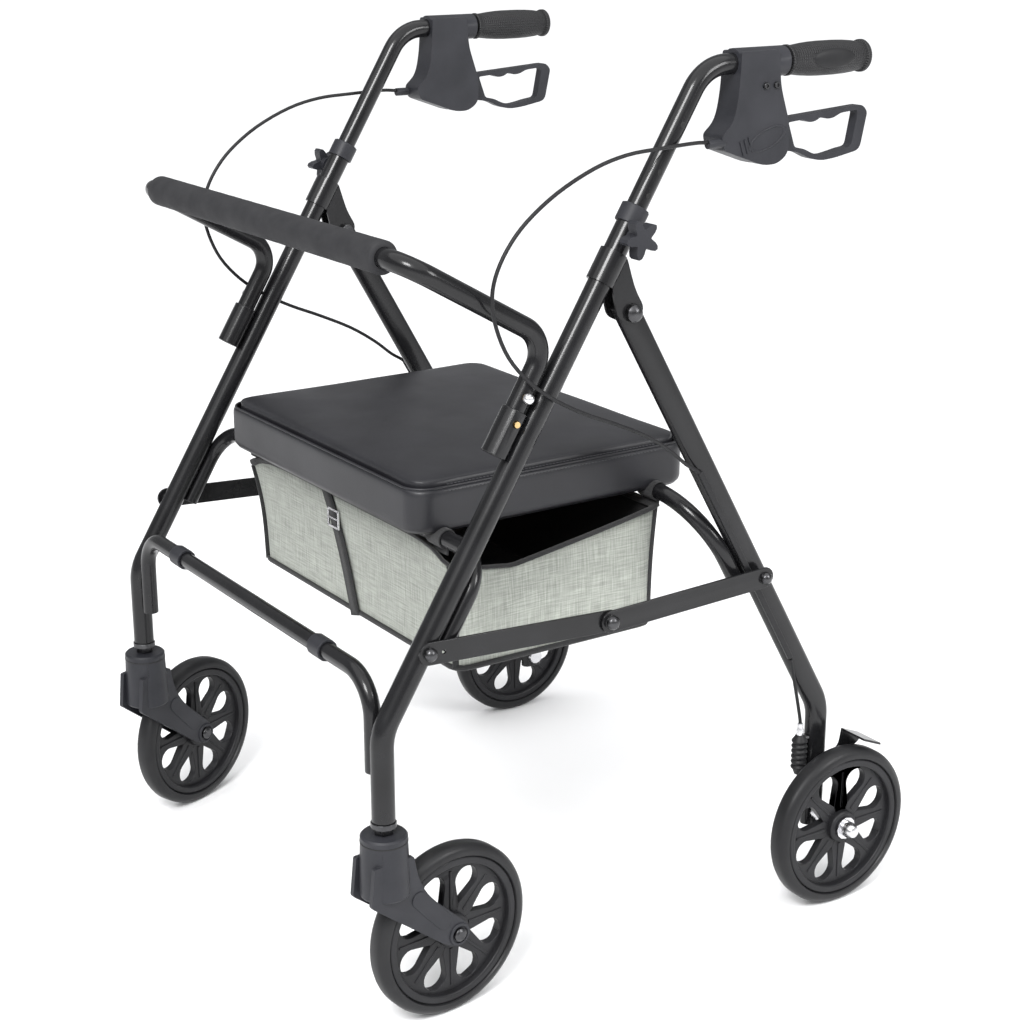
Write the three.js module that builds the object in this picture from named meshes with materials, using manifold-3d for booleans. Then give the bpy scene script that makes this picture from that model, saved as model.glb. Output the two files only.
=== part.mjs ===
// A folding four-wheeled rollator walker with a seat, a backrest and a basket.
// Millimetres, floor at z = 0, front at -Y, the user's left at +X.

import * as THREE from "three";
import { mergeVertices } from "three/addons/utils/BufferGeometryUtils.js";
import Module from "manifold-3d";

const wasm = await Module();
wasm.setup();

// Driving dimensions
const GAP = 0.3; // clearance between pieces that touch
const LEG_X = 306; // the plane of the legs on each side
const FRONT_Y = -339.6; // caster stems
const REAR_Y = 267.2; // rear axle
const FRONT_KNEE_Z = 354.4;
const REAR_KNEE_Z = 241.6;
const FRONT_RAKE = THREE.MathUtils.degToRad(58.4);
const REAR_RAKE = THREE.MathUtils.degToRad(60);
const LEG_RADIUS = 12.7;
const LEG_BORE = 11.4;
const HANDLE_RADIUS = 11.1;
const HANDLE_Z = 1008.8;
const REAR_LEG = { halfThick: 8, halfDeep: 15, wall: 1.5 };
const BAR_RADIUS = 9.5; // cross bar and seat tubes
const BAR_WALL = 1.5;
const PIVOT_Z = 761;
const KNEE_BEND = 60;
const BOLT_RADIUS = 5;
const BOLT_HOLE = 5.8;

const WHEEL = { radius: 100, width: 26, rim: 86, rimInner: 77, hub: 20, hubWidth: 28, spokes: 8 };
const REAR_WHEEL_X = 352.6;
const AXLE_RADIUS = 6;
const AXLE_END_X = 386;
const TRAIL = 83; // caster axle behind the stem
const CASTER_TURN = { left: THREE.MathUtils.degToRad(5.2), right: THREE.MathUtils.degToRad(21.6) };
const CASTER_TOP_Z = 241;
const CASTER_HOUSING = { radius: 27.6, topRadius: 25.5, bottom: 171, slotTop: 203, slotFront: 7 };
const WINDOW = { tip: 30, middle: 58, radius: 15 }; // drop-shaped wheel windows
const LEG_BOTTOM_Z = 255.3;

const CROSS_BAR = { x: 283.2, y: -337, z: 406.5, stubZ: 302, bend: 45 };
const CLIP = { x: 176.5, radius: 12.5, length: 25 };
const FRONT_SEAT_TUBE = { offset: LEG_RADIUS + BAR_RADIUS + GAP, low: 104, high: 209, bend: 45 };
const REAR_SEAT_TUBE = { offset: REAR_LEG.halfDeep + BAR_RADIUS + GAP, low: 214, high: 341.6, bend: 78 };

const SEAT = {
  halfWidth: 221,
  front: -243.6,
  rear: 121.4,
  base: 535,
  board: 12,
  top: 585,
  corner: 40,
  clampX: 150,
};
const BASKET = { halfWidth: 236, wall: 4, top: 507, bottom: 364, dip: 30 };
const COLLAR = { radius: 15.5, z: 861, half: 10, lip: 5 };
const KNOB = { z: 842, start: 22, thick: 14, radius: 21.5, valley: 5.8, lobes: 5 };
const GUSSET = { radius: 15.5, low: 517, high: 552.6, earIn: 8.3, earOut: 10.8 };
const SOCKET = { radius: 14, bore: 11.4, low: 308, high: 359.5 };
const BACKREST = { radius: 11, wall: 1.5, y: -300.8, z: 838.4, elbowY: -132.9, elbowZ: 743.3, bend: 32 };
const FOAM = { radius: 17.5, halfLength: 264 };
const SNAP = { pin: 346, dome: 375, pinRadius: 3.5, domeRadius: 5.5 };
const GRIP = { front: 172.4, length: 112, radius: 18.5 };
const LEVER_PIVOT = { y: 146, z: 932, pin: 2.5 };
const LINK = { thick: 3, halfWide: 12.5, x: 320 };
const FRONT_RIVET = { y: -290.3, z: 436.8 };
const MID_RIVET = { y: -61, z: 424.1 };
const REAR_RIVET = { y: 157.9, z: 431 };
const ARM_PIVOT = { y: 267.2, z: 168 };
const CABLE_RADIUS = 2.5;
const CHANNEL = { low: 93, high: 386, forward: 10.5, halfWide: 3.5, thick: 4 };

// Brake cable of one side, from the adjuster at the brake housing to the top of its channel
const CABLE_ROUTE = [
  [318, 59.5, 931],
  [321, 40, 932],
  [323, -7, 930],
  [325, -50, 927],
  [327, -92, 917],
  [328, -138, 896.5],
  [328, -175, 871],
  [328, -198, 846],
  [328, -212, 820],
  [328, -216, 796],
  [328, -211, 768],
  [328, -196, 736],
  [328, -170, 707],
  [328, -138, 684],
  [327, -100, 664],
  [325, -58, 646],
  [322, -14, 625],
  [319, 20, 603],
  [317, 44.5, 583],
];

const FINISHES = {
  paint: { color: 0x151517, roughness: 0.28, metalness: 0.4 },
  plastic: { color: 0x34353b, roughness: 0.55, metalness: 0 },
  rubber: { color: 0x1a1a1c, roughness: 0.7, metalness: 0 },
  wheel: { color: 0x222226, roughness: 0.5, metalness: 0 },
  steel: { color: 0xc4c4c6, roughness: 0.25, metalness: 1 },
  vinyl: { color: 0x26262c, roughness: 0.45, metalness: 0 },
  wood: { color: 0x9a7b54, roughness: 0.7, metalness: 0 },
  fabric: { color: 0xaab0a5, roughness: 0.95, metalness: 0 },
  foam: { color: 0x2e2e31, roughness: 0.95, metalness: 0 },
};

const ROUND = 12; // sides of a tube
const FINE = 20; // sides of a larger round
const WHEEL_SIDES = 24;
const SIDES = { left: 1, right: -1 };

const walker = new THREE.Group();

// Solids

function signedVolume(position, triangles) {
  const a = new THREE.Vector3();
  const b = new THREE.Vector3();
  const c = new THREE.Vector3();
  let volume = 0;
  for (const [i, j, k] of triangles) {
    a.fromBufferAttribute(position, i);
    b.fromBufferAttribute(position, j);
    c.fromBufferAttribute(position, k);
    volume += a.dot(b.cross(c));
  }
  return volume;
}

// A closed three.js geometry as a manifold solid that faces outwards
function solid(geometry) {
  const bare = geometry.clone();
  bare.deleteAttribute("normal");
  bare.deleteAttribute("uv");
  const merged = mergeVertices(bare, 1e-4);
  const index = merged.index.array;
  const triangles = [];
  for (let t = 0; t < index.length; t += 3) {
    const [i, j, k] = [index[t], index[t + 1], index[t + 2]];
    if (i !== j && j !== k && k !== i) triangles.push([i, j, k]);
  }
  const outward = signedVolume(merged.attributes.position, triangles) > 0;
  const turned = outward ? triangles : triangles.map(([i, j, k]) => [i, k, j]);
  return new wasm.Manifold(
    new wasm.Mesh({
      numProp: 3,
      vertProperties: Float32Array.from(merged.attributes.position.array),
      triVerts: Uint32Array.from(turned.flat()),
    }),
  );
}

function join(...solids) {
  return solids.reduce((whole, piece) => whole.add(piece));
}

function cut(body, ...tools) {
  return tools.reduce((left, tool) => left.subtract(tool), body);
}

function addPart(parent, name, shape, finish) {
  const mesh = shape.getMesh();
  const geometry = new THREE.BufferGeometry();
  geometry.setAttribute("position", new THREE.BufferAttribute(Float32Array.from(mesh.vertProperties), 3));
  geometry.setIndex(Array.from(mesh.triVerts));
  const loose = geometry.toNonIndexed();
  loose.computeVertexNormals();
  const part = new THREE.Mesh(loose, new THREE.MeshStandardMaterial(FINISHES[finish]));
  part.name = name;
  parent.add(part);
}

// Turns a profile of [radius, height] points round X, Y or Z, with heights along that axis
function turned(profile, axis, { segments = ROUND, at = [0, 0, 0], facing = 1 } = {}) {
  const points = profile.map(([radius, height]) => new THREE.Vector2(radius, height));
  const geometry = new THREE.LatheGeometry(points, segments);
  if (axis === "x") geometry.rotateZ((-facing * Math.PI) / 2);
  if (axis === "z") geometry.rotateX(Math.PI / 2);
  geometry.translate(...at);
  return solid(geometry);
}

function rod(radius, from, to, axis, options) {
  return turned([[0, from], [radius, from], [radius, to], [0, to]], axis, options);
}

function ring(bore, radius, from, to, axis, options) {
  return turned([[bore, from], [radius, from], [radius, to], [bore, to], [bore, from]], axis, options);
}

function box(x, y, z, at) {
  const geometry = new THREE.BoxGeometry(x, y, z);
  geometry.translate(...at);
  return solid(geometry);
}

// A point on the edge from a corner, where the corner's rounding starts
function partWay(corner, neighbour, radius) {
  const reach = Math.min(radius, 0.45 * corner.distanceTo(neighbour));
  return neighbour.clone().sub(corner).setLength(reach).add(corner);
}

// An anticlockwise outline of [x, y, radius] corners, each rounded by its radius
function roundedOutline(listed) {
  const clockwise = THREE.ShapeUtils.isClockWise(listed.map(([x, y]) => new THREE.Vector2(x, y)));
  const corners = clockwise ? listed.toReversed() : listed;
  const shape = new THREE.Shape();
  corners.forEach(([x, y, radius = 0], i) => {
    const corner = new THREE.Vector2(x, y);
    const before = new THREE.Vector2(...corners.at(i - 1).slice(0, 2));
    const after = new THREE.Vector2(...corners[(i + 1) % corners.length].slice(0, 2));
    const start = partWay(corner, before, radius);
    const end = partWay(corner, after, radius);
    if (i === 0) shape.moveTo(start.x, start.y);
    else shape.lineTo(start.x, start.y);
    if (radius > 0) shape.quadraticCurveTo(x, y, end.x, end.y);
  });
  shape.closePath();
  return shape;
}

function circle(radius, x = 0, y = 0) {
  return new THREE.Path().absarc(x, y, radius, 0, 2 * Math.PI);
}

// A plate in the YZ plane: its outline is in (y, z), and it spans x from one value to the other
function sidePlate(outline, fromX, toX, curveSegments = 4) {
  const low = Math.min(fromX, toX);
  const depth = Math.abs(toX - fromX);
  const geometry = new THREE.ExtrudeGeometry(outline, { depth, bevelEnabled: false, curveSegments });
  const turn = new THREE.Matrix4().makeBasis(
    new THREE.Vector3(0, 1, 0),
    new THREE.Vector3(0, 0, 1),
    new THREE.Vector3(1, 0, 0),
  );
  geometry.applyMatrix4(turn);
  geometry.translate(low, 0, 0);
  return solid(geometry);
}

// A bent tube's centre line: straight runs between corners, and an arc of stations in each corner
class BentPath extends THREE.Curve {
  constructor(corners, bend, arcSteps = 3) {
    super();
    this.stations = [];
    const last = corners.length - 1;
    const towards = (i) => corners[i + 1].clone().sub(corners[i]).normalize();
    this.addStation(corners[0], towards(0));
    for (let i = 1; i < last; i += 1) {
      const into = towards(i - 1);
      const out = towards(i);
      const turn = into.angleTo(out);
      const start = corners[i].clone().addScaledVector(into, -bend * Math.tan(turn / 2));
      const inward = out.clone().addScaledVector(into, -out.dot(into)).normalize();
      for (let step = 0; step <= arcSteps; step += 1) {
        const angle = (turn * step) / arcSteps;
        const point = start.clone().addScaledVector(into, bend * Math.sin(angle));
        point.addScaledVector(inward, bend * (1 - Math.cos(angle)));
        const tangent = into.clone().multiplyScalar(Math.cos(angle)).addScaledVector(inward, Math.sin(angle));
        this.addStation(point, tangent);
      }
    }
    this.addStation(corners[last], towards(last - 1));
  }

  addStation(point, tangent) {
    this.stations.push({ point, tangent });
  }

  get steps() {
    return this.stations.length - 1;
  }

  stationAt(u) {
    return this.stations[Math.round(u * this.steps)];
  }

  getPoint(u) {
    return this.stationAt(u).point.clone();
  }

  getPointAt(u) {
    return this.getPoint(u);
  }

  getTangentAt(u) {
    return this.stationAt(u).tangent.clone();
  }
}

function sweep(section, path, sides = ROUND) {
  const options = { steps: path.steps, extrudePath: path, curveSegments: sides / 2 };
  return solid(new THREE.ExtrudeGeometry(section, options));
}

function tubeSection(radius, bore) {
  const section = new THREE.Shape().absarc(0, 0, radius, 0, 2 * Math.PI);
  if (bore) section.holes.push(circle(bore));
  return section;
}

function flatOval(halfThick, halfDeep) {
  const straight = halfDeep - halfThick;
  const oval = new THREE.Shape();
  oval.absarc(straight, 0, halfThick, -Math.PI / 2, Math.PI / 2);
  oval.absarc(-straight, 0, halfThick, Math.PI / 2, 1.5 * Math.PI);
  oval.closePath();
  return oval;
}

// Places on the raked legs: "along" runs up from the knee, "behind" is square to the leg

function onFrontLeg(x, along, behind = 0) {
  const y = FRONT_Y + along * Math.cos(FRONT_RAKE) + behind * Math.sin(FRONT_RAKE);
  const z = FRONT_KNEE_Z + along * Math.sin(FRONT_RAKE) - behind * Math.cos(FRONT_RAKE);
  return new THREE.Vector3(x, y, z);
}

function onRearLeg(x, along, ahead = 0) {
  const y = REAR_Y - along * Math.cos(REAR_RAKE) - ahead * Math.sin(REAR_RAKE);
  const z = REAR_KNEE_Z + along * Math.sin(REAR_RAKE) - ahead * Math.cos(REAR_RAKE);
  return new THREE.Vector3(x, y, z);
}

function alongFrontLeg(z) {
  return (z - FRONT_KNEE_Z) / Math.sin(FRONT_RAKE);
}

const PIVOT_ALONG = (PIVOT_Z - REAR_KNEE_Z) / Math.sin(REAR_RAKE);
const PIVOT = onRearLeg(0, PIVOT_ALONG);

// A group whose Z runs up the front leg and whose Y points behind it
function frontLegGroup(side) {
  const group = new THREE.Group();
  group.position.copy(onFrontLeg(side * LEG_X, 0));
  group.rotation.x = FRONT_RAKE - Math.PI / 2;
  walker.add(group);
  return group;
}

// The front frame

function frontLeg(side) {
  const path = new BentPath(
    [
      new THREE.Vector3(side * LEG_X, FRONT_Y, LEG_BOTTOM_Z),
      onFrontLeg(side * LEG_X, 0),
      onFrontLeg(side * LEG_X, alongFrontLeg(COLLAR.z) + COLLAR.lip),
    ],
    KNEE_BEND,
  );
  return sweep(tubeSection(LEG_RADIUS, LEG_BORE), path);
}

function pivotInLegGroup() {
  const dy = PIVOT.y - FRONT_Y;
  const dz = PIVOT.z - FRONT_KNEE_Z;
  const behind = dy * Math.sin(FRONT_RAKE) - dz * Math.cos(FRONT_RAKE);
  const along = dy * Math.cos(FRONT_RAKE) + dz * Math.sin(FRONT_RAKE);
  return [behind, along];
}

function pivotGusset() {
  const [behind, along] = pivotInLegGroup();
  const ear = roundedOutline([
    [LEG_RADIUS - 2, GUSSET.high, 2],
    [LEG_RADIUS - 2, GUSSET.low, 2],
    [behind - 14, along - 14, 8],
    [behind + 12, along - 11, 9],
    [behind + 12, along + 11, 9],
    [behind - 10, along + 22, 12],
  ]);
  ear.holes.push(circle(BOLT_HOLE, behind, along));
  const ears = [1, -1].map((s) => sidePlate(ear, s * GUSSET.earIn, s * GUSSET.earOut));
  const sleeve = ring(LEG_RADIUS + GAP, GUSSET.radius, GUSSET.low, GUSSET.high, "z");
  const leg = rod(LEG_RADIUS + GAP, GUSSET.low - 20, GUSSET.high + 20, "z");
  return cut(join(sleeve, ...ears), leg);
}

function backrestSocket(side) {
  const behind = -(LEG_RADIUS + SOCKET.radius + GAP);
  const tube = ring(SOCKET.bore, SOCKET.radius, SOCKET.low, SOCKET.high, "z", { at: [0, behind, 0] });
  const pinHole = rod(SNAP.pinRadius + GAP, 8, 20, "x", { at: [0, behind, SNAP.pin], facing: side });
  return cut(tube, pinHole);
}

function heightCollar() {
  const middle = alongFrontLeg(COLLAR.z);
  const inside = LEG_RADIUS + GAP;
  const bore = HANDLE_RADIUS + GAP;
  const step = COLLAR.lip + GAP;
  return turned(
    [
      [inside, middle - COLLAR.half],
      [COLLAR.radius, middle - COLLAR.half],
      [COLLAR.radius, middle + COLLAR.half - 1],
      [COLLAR.radius - 1, middle + COLLAR.half],
      [bore, middle + COLLAR.half],
      [bore, middle + step],
      [inside, middle + step],
      [inside, middle - COLLAR.half],
    ],
    "z",
  );
}

// A five-lobed clamp knob with its screw, which presses on the leg from outboard
function starKnob(side) {
  const star = new THREE.Shape();
  const points = 8 * KNOB.lobes;
  for (let i = 0; i < points; i += 1) {
    const angle = (2 * Math.PI * i) / points;
    const radius = KNOB.radius - KNOB.valley * (1 - Math.cos(KNOB.lobes * angle));
    const [y, z] = [radius * Math.cos(angle), radius * Math.sin(angle)];
    if (i === 0) star.moveTo(y, z);
    else star.lineTo(y, z);
  }
  const body = sidePlate(star, side * KNOB.start, side * (KNOB.start + KNOB.thick));
  const neck = rod(9, KNOB.start - 5, KNOB.start + 1, "x", { facing: side });
  const screw = rod(4, LEG_RADIUS + GAP, KNOB.start + 1, "x", { facing: side });
  return join(body, neck, screw);
}

function crossBar() {
  const { x, y, z, stubZ, bend } = CROSS_BAR;
  const corners = [
    new THREE.Vector3(x, y, stubZ),
    new THREE.Vector3(x, y, z),
    new THREE.Vector3(-x, y, z),
    new THREE.Vector3(-x, y, stubZ),
  ];
  return sweep(tubeSection(BAR_RADIUS, BAR_RADIUS - BAR_WALL), new BentPath(corners, bend));
}

function crossBarClip(side) {
  const at = [side * CLIP.x, CROSS_BAR.y, CROSS_BAR.z];
  return ring(BAR_RADIUS + GAP, CLIP.radius, -CLIP.length / 2, CLIP.length / 2, "x", { at });
}

function seatTube(place, tube) {
  const corners = [
    place(LEG_X, tube.low, tube.offset),
    place(LEG_X, tube.high, tube.offset),
    place(-LEG_X, tube.high, tube.offset),
    place(-LEG_X, tube.low, tube.offset),
  ];
  return sweep(tubeSection(BAR_RADIUS, BAR_RADIUS - BAR_WALL), new BentPath(corners, tube.bend, 4));
}

function pivotBolt(side) {
  const head = [
    [0, -17],
    [8, -17],
    [8, -GUSSET.earOut - GAP],
    [BOLT_RADIUS, -GUSSET.earOut - GAP],
    [BOLT_RADIUS, GUSSET.earOut + GAP],
    [10, GUSSET.earOut + GAP],
    [10, GUSSET.earOut + 5],
    [6, GUSSET.earOut + 9],
    [0, GUSSET.earOut + 10],
  ];
  return turned(head, "x", { at: [side * LEG_X, PIVOT.y, PIVOT.z], facing: side });
}

function casterStem() {
  const shaft = rod(AXLE_RADIUS, 206, 258, "z");
  const nut = rod(11, CASTER_TOP_Z + GAP, 249, "z", { segments: 6 });
  const washer = rod(14, 248.5, LEG_BOTTOM_Z - GAP, "z");
  const plug = rod(LEG_BORE - GAP, LEG_BOTTOM_Z - 1, 300, "z");
  return join(shaft, nut, washer, plug);
}

// The rear frame

function rearLeg(side) {
  const path = new BentPath(
    [
      new THREE.Vector3(side * LEG_X, REAR_Y, 84),
      onRearLeg(side * LEG_X, 0),
      onRearLeg(side * LEG_X, PIVOT_ALONG + 13),
    ],
    KNEE_BEND,
  );
  const section = flatOval(REAR_LEG.halfThick, REAR_LEG.halfDeep);
  const { halfThick, halfDeep, wall } = REAR_LEG;
  section.holes.push(flatOval(halfThick - wall, halfDeep - wall));
  const axleHole = rod(AXLE_RADIUS + GAP, -20, 20, "x", { at: [side * LEG_X, REAR_Y, WHEEL.radius] });
  const pivotHole = rod(BOLT_HOLE, -20, 20, "x", { at: [side * LEG_X, PIVOT.y, PIVOT.z] });
  return cut(sweep(section, path, 8), axleHole, pivotHole);
}

function rearAxle(side) {
  const face = REAR_LEG.halfThick + GAP;
  const wheelFace = REAR_WHEEL_X - LEG_X - WHEEL.hubWidth / 2 - GAP;
  const outerFace = wheelFace + WHEEL.hubWidth + 2 * GAP;
  const end = AXLE_END_X - LEG_X;
  const profile = [
    [0, -face - 6],
    [10, -face - 6],
    [10, -face],
    [AXLE_RADIUS, -face],
    [AXLE_RADIUS, face],
    [9, face],
    [9, wheelFace],
    [AXLE_RADIUS, wheelFace],
    [AXLE_RADIUS, outerFace],
    [14, outerFace],
    [14, outerFace + 2],
    [10, outerFace + 2],
    [10, outerFace + 9],
    [7, end - 3],
    [0, end],
  ];
  return turned(profile, "x", { at: [side * LEG_X, REAR_Y, WHEEL.radius], facing: side });
}

// A clip-on channel for the brake cable, on the outer face of the rear leg near its front edge
function cableChannel(side) {
  const face = LEG_X + REAR_LEG.halfThick + GAP;
  const edge = [
    [CHANNEL.low, CHANNEL.forward - CHANNEL.halfWide],
    [CHANNEL.high, CHANNEL.forward - CHANNEL.halfWide],
    [CHANNEL.high, CHANNEL.forward + CHANNEL.halfWide],
    [CHANNEL.low, CHANNEL.forward + CHANNEL.halfWide],
  ];
  const outline = roundedOutline(edge.map(([along, ahead]) => {
    const place = onRearLeg(0, along, ahead);
    return [place.y, place.z, 2];
  }));
  return sidePlate(outline, side * face, side * (face + CHANNEL.thick));
}

// The lower end of the brake: the inner cable, its ferrule and the rubber bellows, with a bracket to the leg
function brakeBoot(side) {
  const x = side * 311;
  const top = new THREE.Vector3(x, 236, 206);
  const channelEnd = onRearLeg(side * 316, CHANNEL.low - 3, CHANNEL.forward);
  const wire = sweep(tubeSection(CABLE_RADIUS), new BentPath([channelEnd, new THREE.Vector3(x, 235, 226), top], 20, 3));
  const profile = [[0, 0], [5, 0], [6, 4]];
  for (let fold = 0; fold < 5; fold += 1) {
    profile.push([9.5, 9 + 8 * fold], [7, 13 + 8 * fold]);
  }
  profile.push([6, 49], [3.5, 51], [3.5, 62], [0, 62]);
  const bellows = turned(profile, "z", { at: [x, 238, 158], segments: 10 });
  const bracket = box(4, 12, 5, [side * 305, 245, 204]);
  const arm = box(8, 4, 5, [side * 307, 240, 204]);
  return join(wire, bellows, bracket, arm);
}

// The pedal-shaped brake arm: a plate on the leg with a tongue that bears on the tyre
function brakeArm(side) {
  const { y, z } = ARM_PIVOT;
  const plate = roundedOutline([
    [y - 28, z - 20, 4],
    [y - 16, z - 22, 4],
    [y + 8, z - 10, 4],
    [y + 36, z + 14, 6],
    [y + 50, z + 22, 2],
    [y + 50, z + 32, 2],
    [y + 22, z + 44, 2],
    [y + 18, z + 22, 8],
    [y - 6, z + 11, 8],
    [y - 28, z - 8, 4],
  ]);
  const [inner, outer] = [side * 328, side * 331];
  const body = sidePlate(plate, inner, outer);
  const tongueSide = roundedOutline([
    [y + 22, z + 41],
    [y + 50, z + 29],
    [y + 50, z + 32],
    [y + 22, z + 44],
  ]);
  const tongue = sidePlate(tongueSide, side * 328, side * 368);
  const boss = rod(8, REAR_LEG.halfThick + GAP, 23, "x", { at: [side * LEG_X, y, z], facing: side });
  const anchor = rod(4.5, 4, 23, "x", { at: [side * LEG_X, y - 22, z - 15], facing: side });
  return join(body, tongue, boss, anchor);
}

// Side braces: a front and a rear flat link on each side

function link(side, from, to, x, spareHole) {
  const start = new THREE.Vector2(from.y, from.z);
  const end = new THREE.Vector2(to.y, to.z);
  const angle = end.clone().sub(start).angle();
  const shape = new THREE.Shape();
  shape.absarc(start.x, start.y, LINK.halfWide, angle + Math.PI / 2, angle + 1.5 * Math.PI);
  shape.absarc(end.x, end.y, LINK.halfWide, angle - Math.PI / 2, angle + Math.PI / 2);
  shape.closePath();
  if (spareHole) {
    const spare = start.clone().lerp(end, 0.075);
    shape.holes.push(circle(2.5, spare.x, spare.y));
  }
  return sidePlate(shape, side * x, side * (x + LINK.thick), 5);
}

function rivetHead(side, at, radius, fromX, toX) {
  const profile = [
    [0, fromX],
    [radius, fromX],
    [radius * 0.75, (fromX + toX) / 2 + 0.5],
    [0, toX],
  ];
  return turned(profile, "x", { at: [0, at.y, at.z], facing: side });
}

// A link with the rivet that holds it to its leg and the washer between them
function frontLink(side) {
  const bar = link(side, FRONT_RIVET, MID_RIVET, LINK.x, true);
  return join(bar, legRivet(side, FRONT_RIVET, LEG_X + LEG_RADIUS, LINK.x));
}

function rearLink(side) {
  const x = LINK.x + LINK.thick + 2 * GAP;
  const face = x + LINK.thick;
  const bar = link(side, REAR_RIVET, MID_RIVET, x, false);
  const middleHead = rivetHead(side, MID_RIVET, 8, face - 0.5, face + 5);
  return join(bar, middleHead, legRivet(side, REAR_RIVET, LEG_X + REAR_LEG.halfThick, x));
}

function legRivet(side, at, legFace, linkX) {
  const washer = rod(7, legFace + GAP, linkX + 0.5, "x", { at: [0, at.y, at.z], facing: side });
  const face = linkX + LINK.thick;
  return join(washer, rivetHead(side, at, 7.5, face - 0.5, face + 4));
}

// A wheel turned round X with its middle at x = 0: a spoked rim with its moulded-on tyre
function wheel() {
  const disc = new THREE.Shape().absarc(0, 0, WHEEL.rimInner + 2, 0, 2 * Math.PI);
  const pitch = (2 * Math.PI) / WHEEL.spokes;
  for (let i = 0; i < WHEEL.spokes; i += 1) {
    const angle = (i + 0.5) * pitch;
    const [cos, sin] = [Math.cos(angle), Math.sin(angle)];
    const drop = [new THREE.Vector2(WINDOW.tip * cos, WINDOW.tip * sin)];
    for (let step = -3; step <= 3; step += 1) {
      const turn = angle + 0.58 * step;
      const x = WINDOW.middle * cos + WINDOW.radius * Math.cos(turn);
      drop.push(new THREE.Vector2(x, WINDOW.middle * sin + WINDOW.radius * Math.sin(turn)));
    }
    disc.holes.push(new THREE.Path(drop));
  }
  const web = sidePlate(disc, -5, 5, WHEEL_SIDES / 2);
  const band = ring(WHEEL.rimInner, WHEEL.rim + 1, -11, 11, "x", { segments: WHEEL_SIDES });
  const hub = rod(WHEEL.hub, -WHEEL.hubWidth / 2, WHEEL.hubWidth / 2, "x");
  const bore = rod(AXLE_RADIUS + GAP, -30, 30, "x");
  return cut(join(web, band, hub, tyre()), bore);
}

function tyre() {
  const half = WHEEL.width / 2;
  const inner = WHEEL.rim;
  const profile = [
    [inner, -half],
    [WHEEL.radius - 6, -half],
    [WHEEL.radius, -half + 7],
    [WHEEL.radius, half - 7],
    [WHEEL.radius - 6, half],
    [inner, half],
    [inner, -half],
  ];
  return turned(profile, "x", { segments: WHEEL_SIDES });
}

// The fork: a tall swivel housing, slotted at the back for the wheel, and two arms down to the axle
function casterFork() {
  const { radius, topRadius, bottom, slotTop, slotFront } = CASTER_HOUSING;
  const bore = AXLE_RADIUS + GAP;
  const housing = turned(
    [
      [bore, bottom],
      [radius - 1, bottom],
      [radius, bottom + 2],
      [topRadius, CASTER_TOP_Z - 8],
      [topRadius, CASTER_TOP_Z - 2],
      [topRadius - 2, CASTER_TOP_Z],
      [bore, CASTER_TOP_Z],
      [bore, bottom],
    ],
    "z",
    { segments: 28 },
  );
  const blade = roundedOutline([
    [-26, 214, 2],
    [-30, 178, 3],
    [-31, 170, 3],
    [66, 92, 14],
    [TRAIL, 85, 10],
    [TRAIL + 14, 92, 10],
    [TRAIL + 13, 108, 10],
    [44, 158, 22],
    [30, 184, 22],
    [24, 214, 3],
  ]);
  blade.holes.push(circle(BOLT_HOLE, TRAIL, WHEEL.radius));
  const inner = WHEEL.hubWidth / 2 + GAP;
  const blades = [1, -1].map((s) => sidePlate(blade, s * inner, s * (inner + 6)));
  const slot = box(2 * inner, 40, slotTop - bottom + 20, [0, slotFront + 20, (slotTop + bottom - 20) / 2]);
  return join(cut(housing, slot), ...blades);
}

function casterAxle() {
  const face = WHEEL.hubWidth / 2 + 2 * GAP + 6;
  const profile = [
    [0, -face - 5],
    [8, -face - 5],
    [8, -face],
    [BOLT_RADIUS, -face],
    [BOLT_RADIUS, face],
    [8, face],
    [8, face + 3],
    [5, face + 5],
    [0, face + 5],
  ];
  return turned(profile, "x", { at: [0, TRAIL, WHEEL.radius], segments: 12 });
}

// Handles

function handleTube(side) {
  const low = 406;
  const elbow = alongFrontLeg(HANDLE_Z);
  const path = new BentPath(
    [
      onFrontLeg(side * LEG_X, low),
      onFrontLeg(side * LEG_X, elbow),
      new THREE.Vector3(side * LEG_X, GRIP.front + GRIP.length - 5, HANDLE_Z),
    ],
    50,
  );
  const tube = sweep(tubeSection(HANDLE_RADIUS, HANDLE_RADIUS - 1.5), path);
  const holes = [0, 1, 2, 3].map((step) => {
    const place = onFrontLeg(side * LEG_X, 618.7 + 27.4 * step);
    return rod(3.2, 6, 14, "x", { at: place.toArray(), facing: side, segments: 12 });
  });
  return cut(tube, ...holes);
}

function handleGrip() {
  const { length, radius } = GRIP;
  const bore = HANDLE_RADIUS + GAP;
  const profile = [
    [bore, 0],
    [radius - 2, 0],
    [radius - 2, 3],
    [radius - 3, 6],
    [radius, 40],
    [radius, 75],
    [radius - 3, length - 8],
    [radius - 1, length - 4],
    [radius - 1, length - 1],
    [radius - 3, length],
    [0, length],
    [0, length - 4],
    [bore, length - 4],
    [bore, 0],
  ];
  return turned(profile, "y", { segments: FINE });
}

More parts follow.
